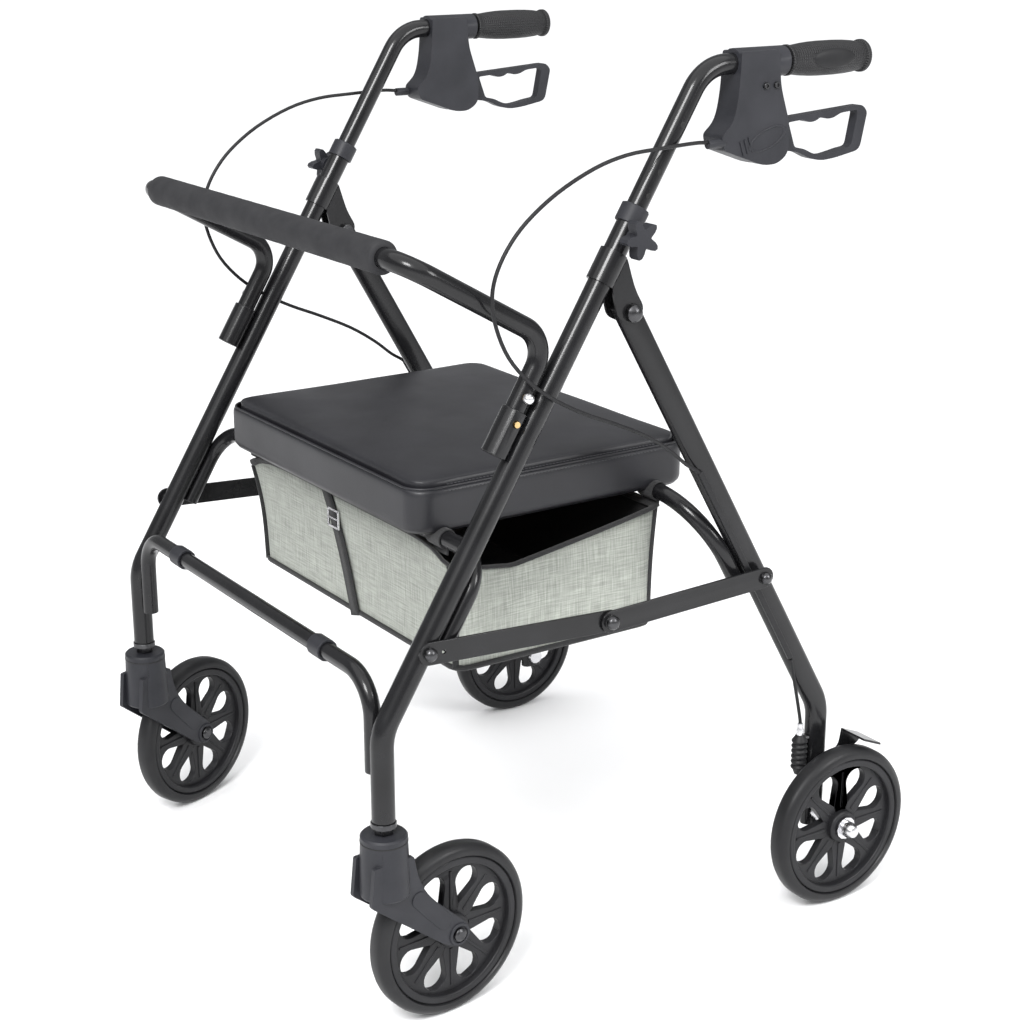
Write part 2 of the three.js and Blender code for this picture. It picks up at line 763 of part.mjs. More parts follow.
// The brake housing hangs under the handle tube, and the lever turns on a pin inside its slot
function brakeHousing(side) {
  const outline = roundedOutline([
    [100, HANDLE_Z + 13, 3],
    [152, HANDLE_Z + 13, 3],
    [155, 985, 12],
    [170, 942, 12],
    [169, 912, 8],
    [154, 902, 8],
    [134, 902, 8],
    [80, 921, 5],
    [76, 936, 4],
    [92, 950, 14],
    [98, 980, 14],
  ]);
  const body = sidePlate(outline, side * LEG_X - 16, side * LEG_X + 16);
  const at = [side * LEG_X, 0, HANDLE_Z];
  const clamp = rod(16, 100, 169, "y", { at, segments: FINE });
  const bore = rod(HANDLE_RADIUS + GAP, 90, 180, "y", { at });
  const slot = box(12.6, 60, 74, [side * LEG_X, 156, 923]);
  const pin = rod(LEVER_PIVOT.pin, -14, 14, "x", { at: [side * LEG_X, LEVER_PIVOT.y, LEVER_PIVOT.z] });
  const adjuster = rod(5, 60, 82, "y", { at: [side * 318, 0, 929], segments: 12 });
  return cut(join(cut(join(body, clamp), slot), pin, adjuster), bore);
}

// The lever is a closed loop with finger rests on both of its bars
function brakeLever(side) {
  const loop = roundedOutline([
    [160, 948, 3],
    [284, 956.5, 7],
    [292, 948, 4],
    [283, 907, 8],
    [266, 904, 6],
    [246, 900.5, 8],
    [226, 899, 8],
    [208, 903, 8],
    [192, 911, 8],
    [142, 918, 6],
    [134, 932, 6],
    [142, 946, 6],
  ]);
  loop.holes.push(circle(LEVER_PIVOT.pin + GAP, LEVER_PIVOT.y, LEVER_PIVOT.z));
  loop.holes.push(roundedOutline([
    [177, 943.5, 2],
    [198, 945.2, 3],
    [206, 941.6, 4],
    [216, 942.4, 4],
    [224, 947, 4],
    [232, 943.6, 4],
    [242, 944.4, 4],
    [252, 949, 4],
    [278, 951, 5],
    [270, 911.5, 5],
    [254, 909.5, 6],
    [242, 907, 6],
    [228, 904.8, 6],
    [214, 907.5, 6],
    [201, 913.5, 4],
    [187, 916.5, 3],
  ]));
  return sidePlate(loop, side * LEG_X - 6, side * LEG_X + 6);
}

// Backrest

function socketAxis(x, along) {
  return onFrontLeg(x, along, -(LEG_RADIUS + SOCKET.radius + GAP));
}

function backrestBar() {
  const { y, z, elbowY, elbowZ } = BACKREST;
  const half = [
    [(x) => socketAxis(x, SOCKET.low + 6)],
    [(x) => new THREE.Vector3(x, elbowY, elbowZ)],
    [(x) => new THREE.Vector3(x, y, z)],
  ].flat();
  const corners = [...half.map((at) => at(LEG_X)), ...half.reverse().map((at) => at(-LEG_X))];
  const path = new BentPath(corners, BACKREST.bend);
  const bar = sweep(tubeSection(BACKREST.radius, BACKREST.radius - BACKREST.wall), path);
  const holes = Object.values(SIDES).flatMap((side) => [
    rod(SNAP.pinRadius + GAP, 6, 20, "x", { at: socketAxis(side * LEG_X, SNAP.pin).toArray(), facing: side }),
    rod(SNAP.domeRadius + GAP, 6, 20, "x", { at: socketAxis(side * LEG_X, SNAP.dome).toArray(), facing: side }),
  ]);
  return cut(bar, ...holes);
}

function backrestFoam() {
  const at = [0, BACKREST.y, BACKREST.z];
  return ring(BACKREST.radius + GAP, FOAM.radius, -FOAM.halfLength, FOAM.halfLength, "x", { at, segments: FINE });
}

// A spring clip inside the backrest bar with its detent pin and its release dome, in the leg group
function snapButton(side) {
  const behind = -(LEG_RADIUS + SOCKET.radius + GAP);
  const middle = (SNAP.pin + SNAP.dome) / 2;
  const strip = box(1.5, 8, SNAP.dome - SNAP.pin + 12, [side * 6.7, behind, middle]);
  const pin = rod(SNAP.pinRadius, 7, 16, "x", { at: [0, behind, SNAP.pin], facing: side, segments: 12 });
  const dome = turned(
    [[0, 7], [SNAP.domeRadius, 7], [SNAP.domeRadius, 13.5], [3.5, 16], [0, 17]],
    "x",
    { at: [0, behind, SNAP.dome], facing: side, segments: 12 },
  );
  return join(strip, pin, dome);
}

// Seat and basket

function roundedRectangle(halfWidth, front, rear, corner) {
  return roundedOutline([
    [-halfWidth, front, corner],
    [halfWidth, front, corner],
    [halfWidth, rear, corner],
    [-halfWidth, rear, corner],
  ]);
}

function seatBoard() {
  const outline = roundedRectangle(SEAT.halfWidth - 7, SEAT.front + 7, SEAT.rear - 7, SEAT.corner - 7);
  const geometry = new THREE.ExtrudeGeometry(outline, { depth: SEAT.board, bevelEnabled: false, curveSegments: 6 });
  geometry.translate(0, 0, SEAT.base);
  return solid(geometry);
}

function seatCushion() {
  const bevel = 8;
  const outline = roundedRectangle(
    SEAT.halfWidth - bevel,
    SEAT.front + bevel,
    SEAT.rear - bevel,
    SEAT.corner - bevel,
  );
  const bottom = SEAT.base + SEAT.board + GAP;
  const geometry = new THREE.ExtrudeGeometry(outline, {
    depth: SEAT.top - bottom - 2 * bevel,
    bevelSize: bevel,
    bevelThickness: bevel,
    bevelSegments: 2,
    curveSegments: 6,
  });
  geometry.translate(0, 0, bottom + bevel);
  return solid(geometry);
}

// A plastic saddle under the board that turns on the front seat tube
function seatHingeClamp(side) {
  const axis = onFrontLeg(side * SEAT.clampX, FRONT_SEAT_TUBE.high, FRONT_SEAT_TUBE.offset);
  const top = SEAT.base - GAP;
  const block = box(26, 24, top - axis.z, [axis.x, axis.y, (top + axis.z) / 2]);
  const shell = rod(13, -13, 13, "x", { at: axis.toArray() });
  const bore = rod(BAR_RADIUS + 2 * GAP, -20, 20, "x", { at: axis.toArray() });
  return cut(join(block, shell), bore);
}

// The fabric basket hangs between the two seat tubes and is open on top
function basket() {
  const { halfWidth, wall, top, bottom, dip } = BASKET;
  const frontTop = -213;
  const rearTop = 74;
  const outer = roundedOutline([
    [frontTop, top],
    [-197, bottom, 12],
    [71, bottom, 12],
    [rearTop, top],
  ]);
  const inner = roundedOutline([
    [frontTop + wall, top + 10],
    [-197 + wall, bottom + wall, 10],
    [71 - wall, bottom + wall, 10],
    [rearTop - wall, top + 10],
  ]);
  const lowered = roundedOutline([
    [frontTop + 30, top + 10, 4],
    [frontTop + 90, top - dip, 40],
    [rearTop - 70, top - dip, 40],
    [rearTop - 20, top + 10, 4],
  ]);
  return cut(
    sidePlate(outer, -halfWidth, halfWidth),
    sidePlate(inner, -halfWidth + wall, halfWidth - wall),
    sidePlate(lowered, -halfWidth - 5, halfWidth + 5),
  );
}

function brakeCable(side) {
  const points = CABLE_ROUTE.map(([x, y, z]) => new THREE.Vector3(side * x, y, z));
  const path = new THREE.CatmullRomCurve3(points, false, "centripetal");
  const section = new THREE.Shape().absarc(0, 0, CABLE_RADIUS, 0, 2 * Math.PI);
  const geometry = new THREE.ExtrudeGeometry(section, { steps: 40, extrudePath: path, curveSegments: 4 });
  return solid(geometry);
}

// The assembly

for (const [name, side] of Object.entries(SIDES)) {
  const leg = frontLegGroup(side);
  addPart(walker, `front_leg_${name}`, frontLeg(side), "paint");
  addPart(leg, `pivot_gusset_${name}`, pivotGusset(), "paint");
  addPart(leg, `backrest_socket_${name}`, backrestSocket(side), "paint");
  addPart(leg, `height_collar_${name}`, heightCollar(), "plastic");
  addPart(leg, `snap_button_${name}`, snapButton(side), "steel");

  const knob = new THREE.Group();
  knob.position.set(0, 0, alongFrontLeg(KNOB.z));
  leg.add(knob);
  addPart(knob, `star_knob_${name}`, starKnob(side), "plastic");

  addPart(walker, `handle_tube_${name}`, handleTube(side), "paint");
  const grip = new THREE.Group();
  grip.position.set(side * LEG_X, GRIP.front, HANDLE_Z);
  walker.add(grip);
  addPart(grip, `handle_grip_${name}`, handleGrip(), "rubber");
  addPart(walker, `brake_housing_${name}`, brakeHousing(side), "plastic");
  addPart(walker, `brake_lever_${name}`, brakeLever(side), "plastic");
  addPart(walker, `brake_cable_${name}`, brakeCable(side), "rubber");

  addPart(walker, `rear_leg_${name}`, rearLeg(side), "paint");
  addPart(walker, `brake_boot_${name}`, brakeBoot(side), "rubber");
  addPart(walker, `brake_arm_${name}`, brakeArm(side), "paint");
  addPart(walker, `front_link_${name}`, frontLink(side), "paint");
  addPart(walker, `rear_link_${name}`, rearLink(side), "paint");

  const rearWheel = new THREE.Group();
  rearWheel.position.set(side * REAR_WHEEL_X, REAR_Y, WHEEL.radius);
  walker.add(rearWheel);
  addPart(rearWheel, `rear_wheel_${name}`, wheel(), "wheel");

  const caster = new THREE.Group();
  caster.position.set(side * LEG_X, FRONT_Y, 0);
  caster.rotation.z = CASTER_TURN[name];
  walker.add(caster);
  addPart(caster, `caster_fork_${name}`, casterFork(), "plastic");
  addPart(caster, `caster_axle_${name}`, casterAxle(), "steel");

  const casterWheel = new THREE.Group();
  casterWheel.position.set(0, TRAIL, WHEEL.radius);
  caster.add(casterWheel);
  addPart(casterWheel, `caster_wheel_${name}`, wheel(), "wheel");

  const stem = new THREE.Group();
  stem.position.set(side * LEG_X, FRONT_Y, 0);
  walker.add(stem);
  addPart(stem, `caster_stem_${name}`, casterStem(), "steel");
  addPart(walker, `cross_bar_clip_${name}`, crossBarClip(side), "plastic");
  addPart(walker, `pivot_bolt_${name}`, pivotBolt(side), "steel");
  addPart(walker, `rear_axle_${name}`, rearAxle(side), "steel");
  addPart(walker, `cable_channel_${name}`, cableChannel(side), "plastic");
  addPart(walker, `seat_hinge_clamp_${name}`, seatHingeClamp(side), "plastic");
}

addPart(walker, "cross_bar", crossBar(), "paint");
addPart(walker, "front_seat_tube", seatTube(onFrontLeg, FRONT_SEAT_TUBE), "paint");
addPart(walker, "rear_seat_tube", seatTube(onRearLeg, REAR_SEAT_TUBE), "paint");
addPart(walker, "backrest_bar", backrestBar(), "paint");
addPart(walker, "backrest_foam", backrestFoam(), "foam");
addPart(walker, "seat_board", seatBoard(), "wood");
addPart(walker, "seat_cushion", seatCushion(), "vinyl");
addPart(walker, "basket", basket(), "fabric");

export default walker;
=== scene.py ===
import math

import bmesh
import bpy
from mathutils import Matrix, Vector, noise


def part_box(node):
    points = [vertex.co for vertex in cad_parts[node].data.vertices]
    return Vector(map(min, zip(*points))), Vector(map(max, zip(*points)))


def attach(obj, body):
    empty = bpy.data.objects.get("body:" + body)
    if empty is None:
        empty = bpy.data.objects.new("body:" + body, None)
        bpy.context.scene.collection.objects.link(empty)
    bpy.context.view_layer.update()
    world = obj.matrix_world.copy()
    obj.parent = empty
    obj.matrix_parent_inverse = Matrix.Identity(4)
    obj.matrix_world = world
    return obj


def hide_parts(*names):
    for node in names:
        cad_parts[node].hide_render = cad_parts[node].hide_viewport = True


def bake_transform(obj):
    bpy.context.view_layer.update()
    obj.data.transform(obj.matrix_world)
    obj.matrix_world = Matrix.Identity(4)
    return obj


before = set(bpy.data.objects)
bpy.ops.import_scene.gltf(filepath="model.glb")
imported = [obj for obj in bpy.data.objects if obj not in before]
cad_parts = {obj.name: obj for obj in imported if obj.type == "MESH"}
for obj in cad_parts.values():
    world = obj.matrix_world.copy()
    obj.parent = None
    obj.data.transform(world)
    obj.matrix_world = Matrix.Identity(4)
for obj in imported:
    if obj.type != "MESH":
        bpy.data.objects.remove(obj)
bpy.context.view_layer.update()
sides = {"left": 1, "right": -1}

# camera

camera = {"place": (1.9189, -1.26105, 1.1937), "turn": (72.08, 0, 56.11), "lens": 68.92}

cameraData = bpy.data.cameras.new("camera")
cameraData.lens = camera["lens"]
cameraData.sensor_width = 36
cameraObject = bpy.data.objects.new("camera", cameraData)
cameraObject.location = camera["place"]
cameraObject.rotation_euler = [math.radians(a) for a in camera["turn"]]
bpy.context.collection.objects.link(cameraObject)
bpy.context.scene.camera = cameraObject
bpy.context.scene.view_settings.view_transform = "Standard"
print("camera placed")

# places on the raked legs, in metres

legs = {
    "x": 0.306,
    "frontY": -0.3396,
    "frontKneeZ": 0.3544,
    "frontRake": math.radians(58.4),
    "rearY": 0.2672,
    "rearKneeZ": 0.2416,
    "rearRake": math.radians(60),
    "tubeRadius": 0.0127,
    "kneeBend": 0.06,
}


def onFrontLeg(x, along, behind=0.0):
    rake = legs["frontRake"]
    y = legs["frontY"] + along * math.cos(rake) + behind * math.sin(rake)
    z = legs["frontKneeZ"] + along * math.sin(rake) - behind * math.cos(rake)
    return Vector((x, y, z))


def onRearLeg(x, along, ahead=0.0):
    rake = legs["rearRake"]
    y = legs["rearY"] - along * math.cos(rake) - ahead * math.sin(rake)
    z = legs["rearKneeZ"] + along * math.sin(rake) - ahead * math.cos(rake)
    return Vector((x, y, z))


# mesh tools


def newVerts(made):
    return [g for g in made["geom"] if isinstance(g, bmesh.types.BMVert)]


def edgesAmong(verts):
    inside = set(verts)
    return list({e for v in verts for e in v.link_edges if e.other_vert(v) in inside})


def startRing(bm, at, heading, across, halfThick, halfDeep=None, count=24):
    # a round ring, or a flat oval one with its thin side along across
    deep = halfDeep or halfThick
    along = heading.cross(across).normalized()
    turn = Matrix((across, along, heading)).transposed().to_4x4()
    made = bmesh.ops.create_circle(bm, cap_ends=True, segments=count, radius=halfThick)
    for v in made["verts"]:
        v.co.y += math.copysign(deep - halfThick, v.co.y) if abs(v.co.y) > 1e-6 else 0
    bmesh.ops.transform(bm, matrix=Matrix.Translation(at) @ turn, verts=made["verts"])
    return made["verts"]


def pushRing(bm, ring, step):
    made = bmesh.ops.extrude_edge_only(bm, edges=edgesAmong(ring))
    verts = newVerts(made)
    bmesh.ops.translate(bm, verts=verts, vec=step)
    return verts


def sweepBends(bm, corners, bend, across, halfThick, halfDeep=None, steps=10, count=24, closed=False):
    # straight pushes between the corners and a spin round each corner
    here = corners[0]
    ring = startRing(bm, here, (corners[1] - here).normalized(), across, halfThick, halfDeep, count)
    if closed:
        bmesh.ops.delete(bm, geom=[f for f in bm.faces if set(f.verts) == set(ring)], context="FACES_ONLY")
    for i in range(1, len(corners)):
        heading = (corners[i] - corners[i - 1]).normalized()
        turn = 0.0
        stop = corners[i]
        if i < len(corners) - 1:
            onward = (corners[i + 1] - corners[i]).normalized()
            turn = heading.angle(onward)
            stop = corners[i] - heading * bend * math.tan(turn / 2)
        ring = pushRing(bm, ring, stop - here)
        here = stop
        if turn > 1e-4:
            axis = heading.cross(onward).normalized()
            centre = stop + axis.cross(heading) * bend
            spun = bmesh.ops.spin(
                bm,
                geom=ring + edgesAmong(ring),
                cent=centre,
                axis=axis,
                dvec=(0, 0, 0),
                angle=turn,
                steps=steps,
                use_duplicate=False,
            )
            ring = [g for g in spun["geom_last"] if isinstance(g, bmesh.types.BMVert)]
            here = corners[i] + onward * bend * math.tan(turn / 2)
    if closed:
        bmesh.ops.remove_doubles(bm, verts=bm.verts, dist=1e-5)
    else:
        bmesh.ops.edgeloop_fill(bm, edges=edgesAmong(ring))


def sweepPoints(bm, points, radius, count=12, flatten=1.0):
    # a ring carried along many close points, turned a little at each one
    heading = (points[1] - points[0]).normalized()
    across = heading.orthogonal().normalized()
    if abs(heading.x) < 0.9:
        across = (Vector((1, 0, 0)) - heading * heading.x).normalized()
    ring = startRing(bm, points[0], heading, across, radius, None, count)
    if flatten != 1.0:
        for v in ring:
            off = v.co - points[0]
            v.co -= across * off.dot(across) * (1 - flatten)
    for i in range(1, len(points)):
        ring = pushRing(bm, ring, points[i] - points[i - 1])
        last = i == len(points) - 1
        onward = heading if last else (points[i + 1] - points[i]).normalized()
        inward = (points[i] - points[i - 1]).normalized()
        aim = (onward + inward).normalized()
        turn = heading.rotation_difference(aim).to_matrix()
        bmesh.ops.rotate(bm, cent=points[i], matrix=turn, verts=ring)
        heading = aim
    bmesh.ops.edgeloop_fill(bm, edges=edgesAmong(ring))


def lathe(bm, profile, at, axis, steps=48, closed=False):
    # profile is a list of (radius, height along the axis)
    axis = Vector(axis).normalized()
    across = axis.orthogonal().normalized()
    at = Vector(at)
    verts = [bm.verts.new(at + axis * h + across * r) for r, h in profile]
    edges = [bm.edges.new(pair) for pair in zip(verts, verts[1:])]
    if closed:
        edges.append(bm.edges.new((verts[-1], verts[0])))
    bmesh.ops.spin(
        bm,
        geom=verts + edges,
        cent=at,
        axis=axis,
        dvec=(0, 0, 0),
        angle=2 * math.pi,
        steps=steps,
        use_merge=True,
    )
    bmesh.ops.remove_doubles(bm, verts=bm.verts, dist=2e-6)


def plate(bm, outline, thickness):
    # a flat face pushed to a plate; outline is a list of points, thickness a vector
    face = bm.faces.new([bm.verts.new(p) for p in outline])
    made = bmesh.ops.extrude_face_region(bm, geom=[face])
    bmesh.ops.translate(bm, verts=newVerts(made), vec=thickness)


def block(bm, centre, size):
    made = bmesh.ops.create_cube(bm, size=1)
    bmesh.ops.scale(bm, vec=size, verts=made["verts"])
    bmesh.ops.translate(bm, vec=centre, verts=made["verts"])


def addModifier(piece, kind, **values):
    modifier = piece.modifiers.new(kind.lower(), kind)
    for key, value in values.items():
        setattr(modifier, key, value)
    return modifier


def makePiece(name, bm, materials, body, stands=(), angle=35, bevel=0.0, smooth=0):
    bmesh.ops.recalc_face_normals(bm, faces=bm.faces)
    mesh = bpy.data.meshes.new(name)
    bm.to_mesh(mesh)
    bm.free()
    mesh.shade_smooth()
    mesh.set_sharp_from_angle(angle=math.radians(angle))
    for material in materials if isinstance(materials, (list, tuple)) else [materials]:
        mesh.materials.append(material)
    piece = bpy.data.objects.new(name, mesh)
    bpy.context.collection.objects.link(piece)
    if bevel:
        addModifier(
            piece, "BEVEL", width=bevel, segments=3, limit_method="ANGLE", angle_limit=math.radians(40)
        )
    if smooth:
        addModifier(piece, "SUBSURF", levels=smooth, render_levels=smooth)
    if body:
        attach(piece, body)
    if stands:
        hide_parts(*stands)
    return piece


def refined(node, material, body, bevel=0.0006, angle=38):
    # a merged copy of a solid with soft edges
    bm = bmesh.new()
    bm.from_mesh(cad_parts[node].data)
    bmesh.ops.remove_doubles(bm, verts=bm.verts, dist=1e-5)
    bmesh.ops.dissolve_limit(bm, angle_limit=math.radians(1), verts=bm.verts, edges=bm.edges)
    return makePiece(node + "_skin", bm, material, body, [node], angle, bevel)


# node groups


def newGroup(name, inputs, outputs):
    group = bpy.data.node_groups.new(name, "ShaderNodeTree")
    for label, value in inputs.items():
        socket = group.interface.new_socket(name=label, in_out="INPUT", socket_type="NodeSocketFloat")
        socket.default_value = value
    for label, kind in outputs.items():
        group.interface.new_socket(name=label, in_out="OUTPUT", socket_type=kind)
    start = group.nodes.new("NodeGroupInput")
    end = group.nodes.new("NodeGroupOutput")
    return group, start, end


def mathNode(tree, operation, first, second=None):
    node = tree.nodes.new("ShaderNodeMath")
    node.operation = operation
    for socket, value in zip(node.inputs, (first, second)):
        if value is None:
            continue
        if isinstance(value, (int, float)):
            socket.default_value = value
        else:
            tree.links.new(value, socket)
    return node.outputs[0]


def buildGrainGroup(name, kind, output, scale, strength, distance):
    # a fine grain from one texture: a mask and a bumped normal
    group, start, end = newGroup(
        name,
        {"Scale": scale, "Strength": strength, "Distance": distance},
        {"Mask": "NodeSocketFloat", "Normal": "NodeSocketVector"},
    )
    coordinates = group.nodes.new("ShaderNodeTexCoord")
    grain = group.nodes.new(kind)
    bump = group.nodes.new("ShaderNodeBump")
    group.links.new(coordinates.outputs["Object"], grain.inputs["Vector"])
    group.links.new(start.outputs["Scale"], grain.inputs["Scale"])
    group.links.new(start.outputs["Strength"], bump.inputs["Strength"])
    group.links.new(start.outputs["Distance"], bump.inputs["Distance"])
    group.links.new(grain.outputs[output], bump.inputs["Height"])
    group.links.new(grain.outputs[output], end.inputs["Mask"])
    group.links.new(bump.outputs["Normal"], end.inputs["Normal"])
    if output == "Distance":  # pebbles stand up between the cell edges
        grain.feature = "SMOOTH_F1"
        bump.invert = True
    return group


def buildHandlingGroup():
    # broad soft patches of handling, from Low to High
    group, start, end = newGroup(
        "handlingMarks",
        {"Scale": 14.0, "Low": 0.2, "High": 0.3},
        {"Value": "NodeSocketFloat"},
    )
    coordinates = group.nodes.new("ShaderNodeTexCoord")
    patches = group.nodes.new("ShaderNodeTexNoise")
    patches.inputs["Detail"].default_value = 5
    spread = group.nodes.new("ShaderNodeMapRange")
    spread.inputs["From Min"].default_value = 0.3
    spread.inputs["From Max"].default_value = 0.7
    group.links.new(coordinates.outputs["Object"], patches.inputs["Vector"])
    group.links.new(start.outputs["Scale"], patches.inputs["Scale"])
    group.links.new(patches.outputs["Fac"], spread.inputs["Value"])
    group.links.new(start.outputs["Low"], spread.inputs["To Min"])
    group.links.new(start.outputs["High"], spread.inputs["To Max"])
    group.links.new(spread.outputs["Result"], end.inputs["Value"])
    return group


def buildWeaveGroup():
    # crossing threads over an upright bag: a tone for each thread, and a normal
    group, start, end = newGroup(
        "wovenThreads",
        {"Pitch": 0.0016, "Strength": 0.3, "Distance": 0.0006},
        {"Tone": "NodeSocketFloat", "Normal": "NodeSocketVector"},
    )
    coordinates = group.nodes.new("ShaderNodeTexCoord")
    split = group.nodes.new("ShaderNodeSeparateXYZ")
    group.links.new(coordinates.outputs["Object"], split.inputs[0])
    around = mathNode(group, "ADD", split.outputs["X"], split.outputs["Y"])
    across = mathNode(group, "DIVIDE", around, start.outputs["Pitch"])
    upward = mathNode(group, "DIVIDE", split.outputs["Z"], start.outputs["Pitch"])
    tones = []
    heights = []
    for lengthwise, thread in ((across, upward), (upward, across)):
        join = group.nodes.new("ShaderNodeCombineXYZ")
        group.links.new(mathNode(group, "MULTIPLY", lengthwise, 0.045), join.inputs["X"])
        group.links.new(thread, join.inputs["Y"])
        streaks = group.nodes.new("ShaderNodeTexNoise")
        streaks.inputs["Scale"].default_value = 0.9
        streaks.inputs["Detail"].default_value = 3
        group.links.new(join.outputs[0], streaks.inputs["Vector"])
        tones.append(streaks.outputs["Fac"])
        wave = mathNode(group, "SINE", mathNode(group, "MULTIPLY", thread, math.pi))
        heights.append(mathNode(group, "ABSOLUTE", wave))
    tone = mathNode(group, "MULTIPLY", mathNode(group, "ADD", tones[0], tones[1]), 0.5)
    height = mathNode(group, "MULTIPLY", heights[0], heights[1])
    height = mathNode(group, "ADD", height, mathNode(group, "MULTIPLY", tone, 0.8))
    bump = group.nodes.new("ShaderNodeBump")
    group.links.new(start.outputs["Strength"], bump.inputs["Strength"])
    group.links.new(start.outputs["Distance"], bump.inputs["Distance"])
    group.links.new(height, bump.inputs["Height"])
    group.links.new(tone, end.inputs["Tone"])
    group.links.new(bump.outputs["Normal"], end.inputs["Normal"])
    return group


groups = {
    "grain": buildGrainGroup("fineGrain", "ShaderNodeTexNoise", "Fac", 900.0, 0.1, 0.0004),
    "handling": buildHandlingGroup(),
    "weave": buildWeaveGroup(),
    "leather": buildGrainGroup("pebbledGrain", "ShaderNodeTexVoronoi", "Distance", 650.0, 0.25, 0.0005),
}


def placeGroup(tree, name, **values):
    node = tree.nodes.new("ShaderNodeGroup")
    node.node_tree = groups[name]
    for label, value in values.items():
        node.inputs[label].default_value = value
    return node


def newMaterial(name, **values):
    material = bpy.data.materials.new(name)
    material.use_nodes = True
    tree = material.node_tree
    shader = tree.nodes["Principled BSDF"]
    for label, value in values.items():
        shader.inputs[label.replace("_", " ")].default_value = value
    return material, tree, shader


def mixColours(tree, factor, first, second):
    mix = tree.nodes.new("ShaderNodeMix")
    mix.data_type = "RGBA"
    tree.links.new(factor, mix.inputs[0])
    mix.inputs[6].default_value = (*first, 1)
    mix.inputs[7].default_value = (*second, 1)
    return mix.outputs[2]


def grainedMaterial(name, dark, light, low, high, grain, patch=14.0, pattern="grain", **values):
    # two close tones, roughness that wanders between low and high, and a grain
    material, tree, shader = newMaterial(name, **values)
    tones = placeGroup(tree, "handling", Scale=patch * 1.7, Low=0.0, High=1.0)
    tree.links.new(mixColours(tree, tones.outputs["Value"], dark, light), shader.inputs["Base Color"])
    marks = placeGroup(tree, "handling", Scale=patch, Low=low, High=high)
    tree.links.new(marks.outputs["Value"], shader.inputs["Roughness"])
    fine = placeGroup(tree, pattern, **grain)
    tree.links.new(fine.outputs["Normal"], shader.inputs["Normal"])
    return material


def fabricMaterial(name, dark, light, pitch, strength, sheen):
    material, tree, shader = newMaterial(name, Roughness=0.9, Sheen_Weight=sheen, Sheen_Roughness=0.5)
    weave = placeGroup(tree, "weave", Pitch=pitch, Strength=strength)
    spread = tree.nodes.new("ShaderNodeMapRange")
    spread.inputs["From Min"].default_value = 0.36
    spread.inputs["From Max"].default_value = 0.64
    tree.links.new(weave.outputs["Tone"], spread.inputs["Value"])
    tree.links.new(mixColours(tree, spread.outputs["Result"], dark, light), shader.inputs["Base Color"])
    tree.links.new(weave.outputs["Normal"], shader.inputs["Normal"])
    return material


def woodMaterial(name, dark, light):
    material, tree, shader = newMaterial(name, Roughness=0.6)
    coordinates = tree.nodes.new("ShaderNodeTexCoord")
    stretch = tree.nodes.new("ShaderNodeMapping")
    stretch.inputs["Scale"].default_value = (4, 60, 60)
    streaks = tree.nodes.new("ShaderNodeTexNoise")
    streaks.inputs["Scale"].default_value = 2.5
    streaks.inputs["Detail"].default_value = 6
    tree.links.new(coordinates.outputs["Object"], stretch.inputs["Vector"])
    tree.links.new(stretch.outputs[0], streaks.inputs["Vector"])
    tree.links.new(mixColours(tree, streaks.outputs["Fac"], dark, light), shader.inputs["Base Color"])
    fine = placeGroup(tree, "grain", Scale=700.0, Strength=0.15)
    tree.links.new(fine.outputs["Normal"], shader.inputs["Normal"])
    return material


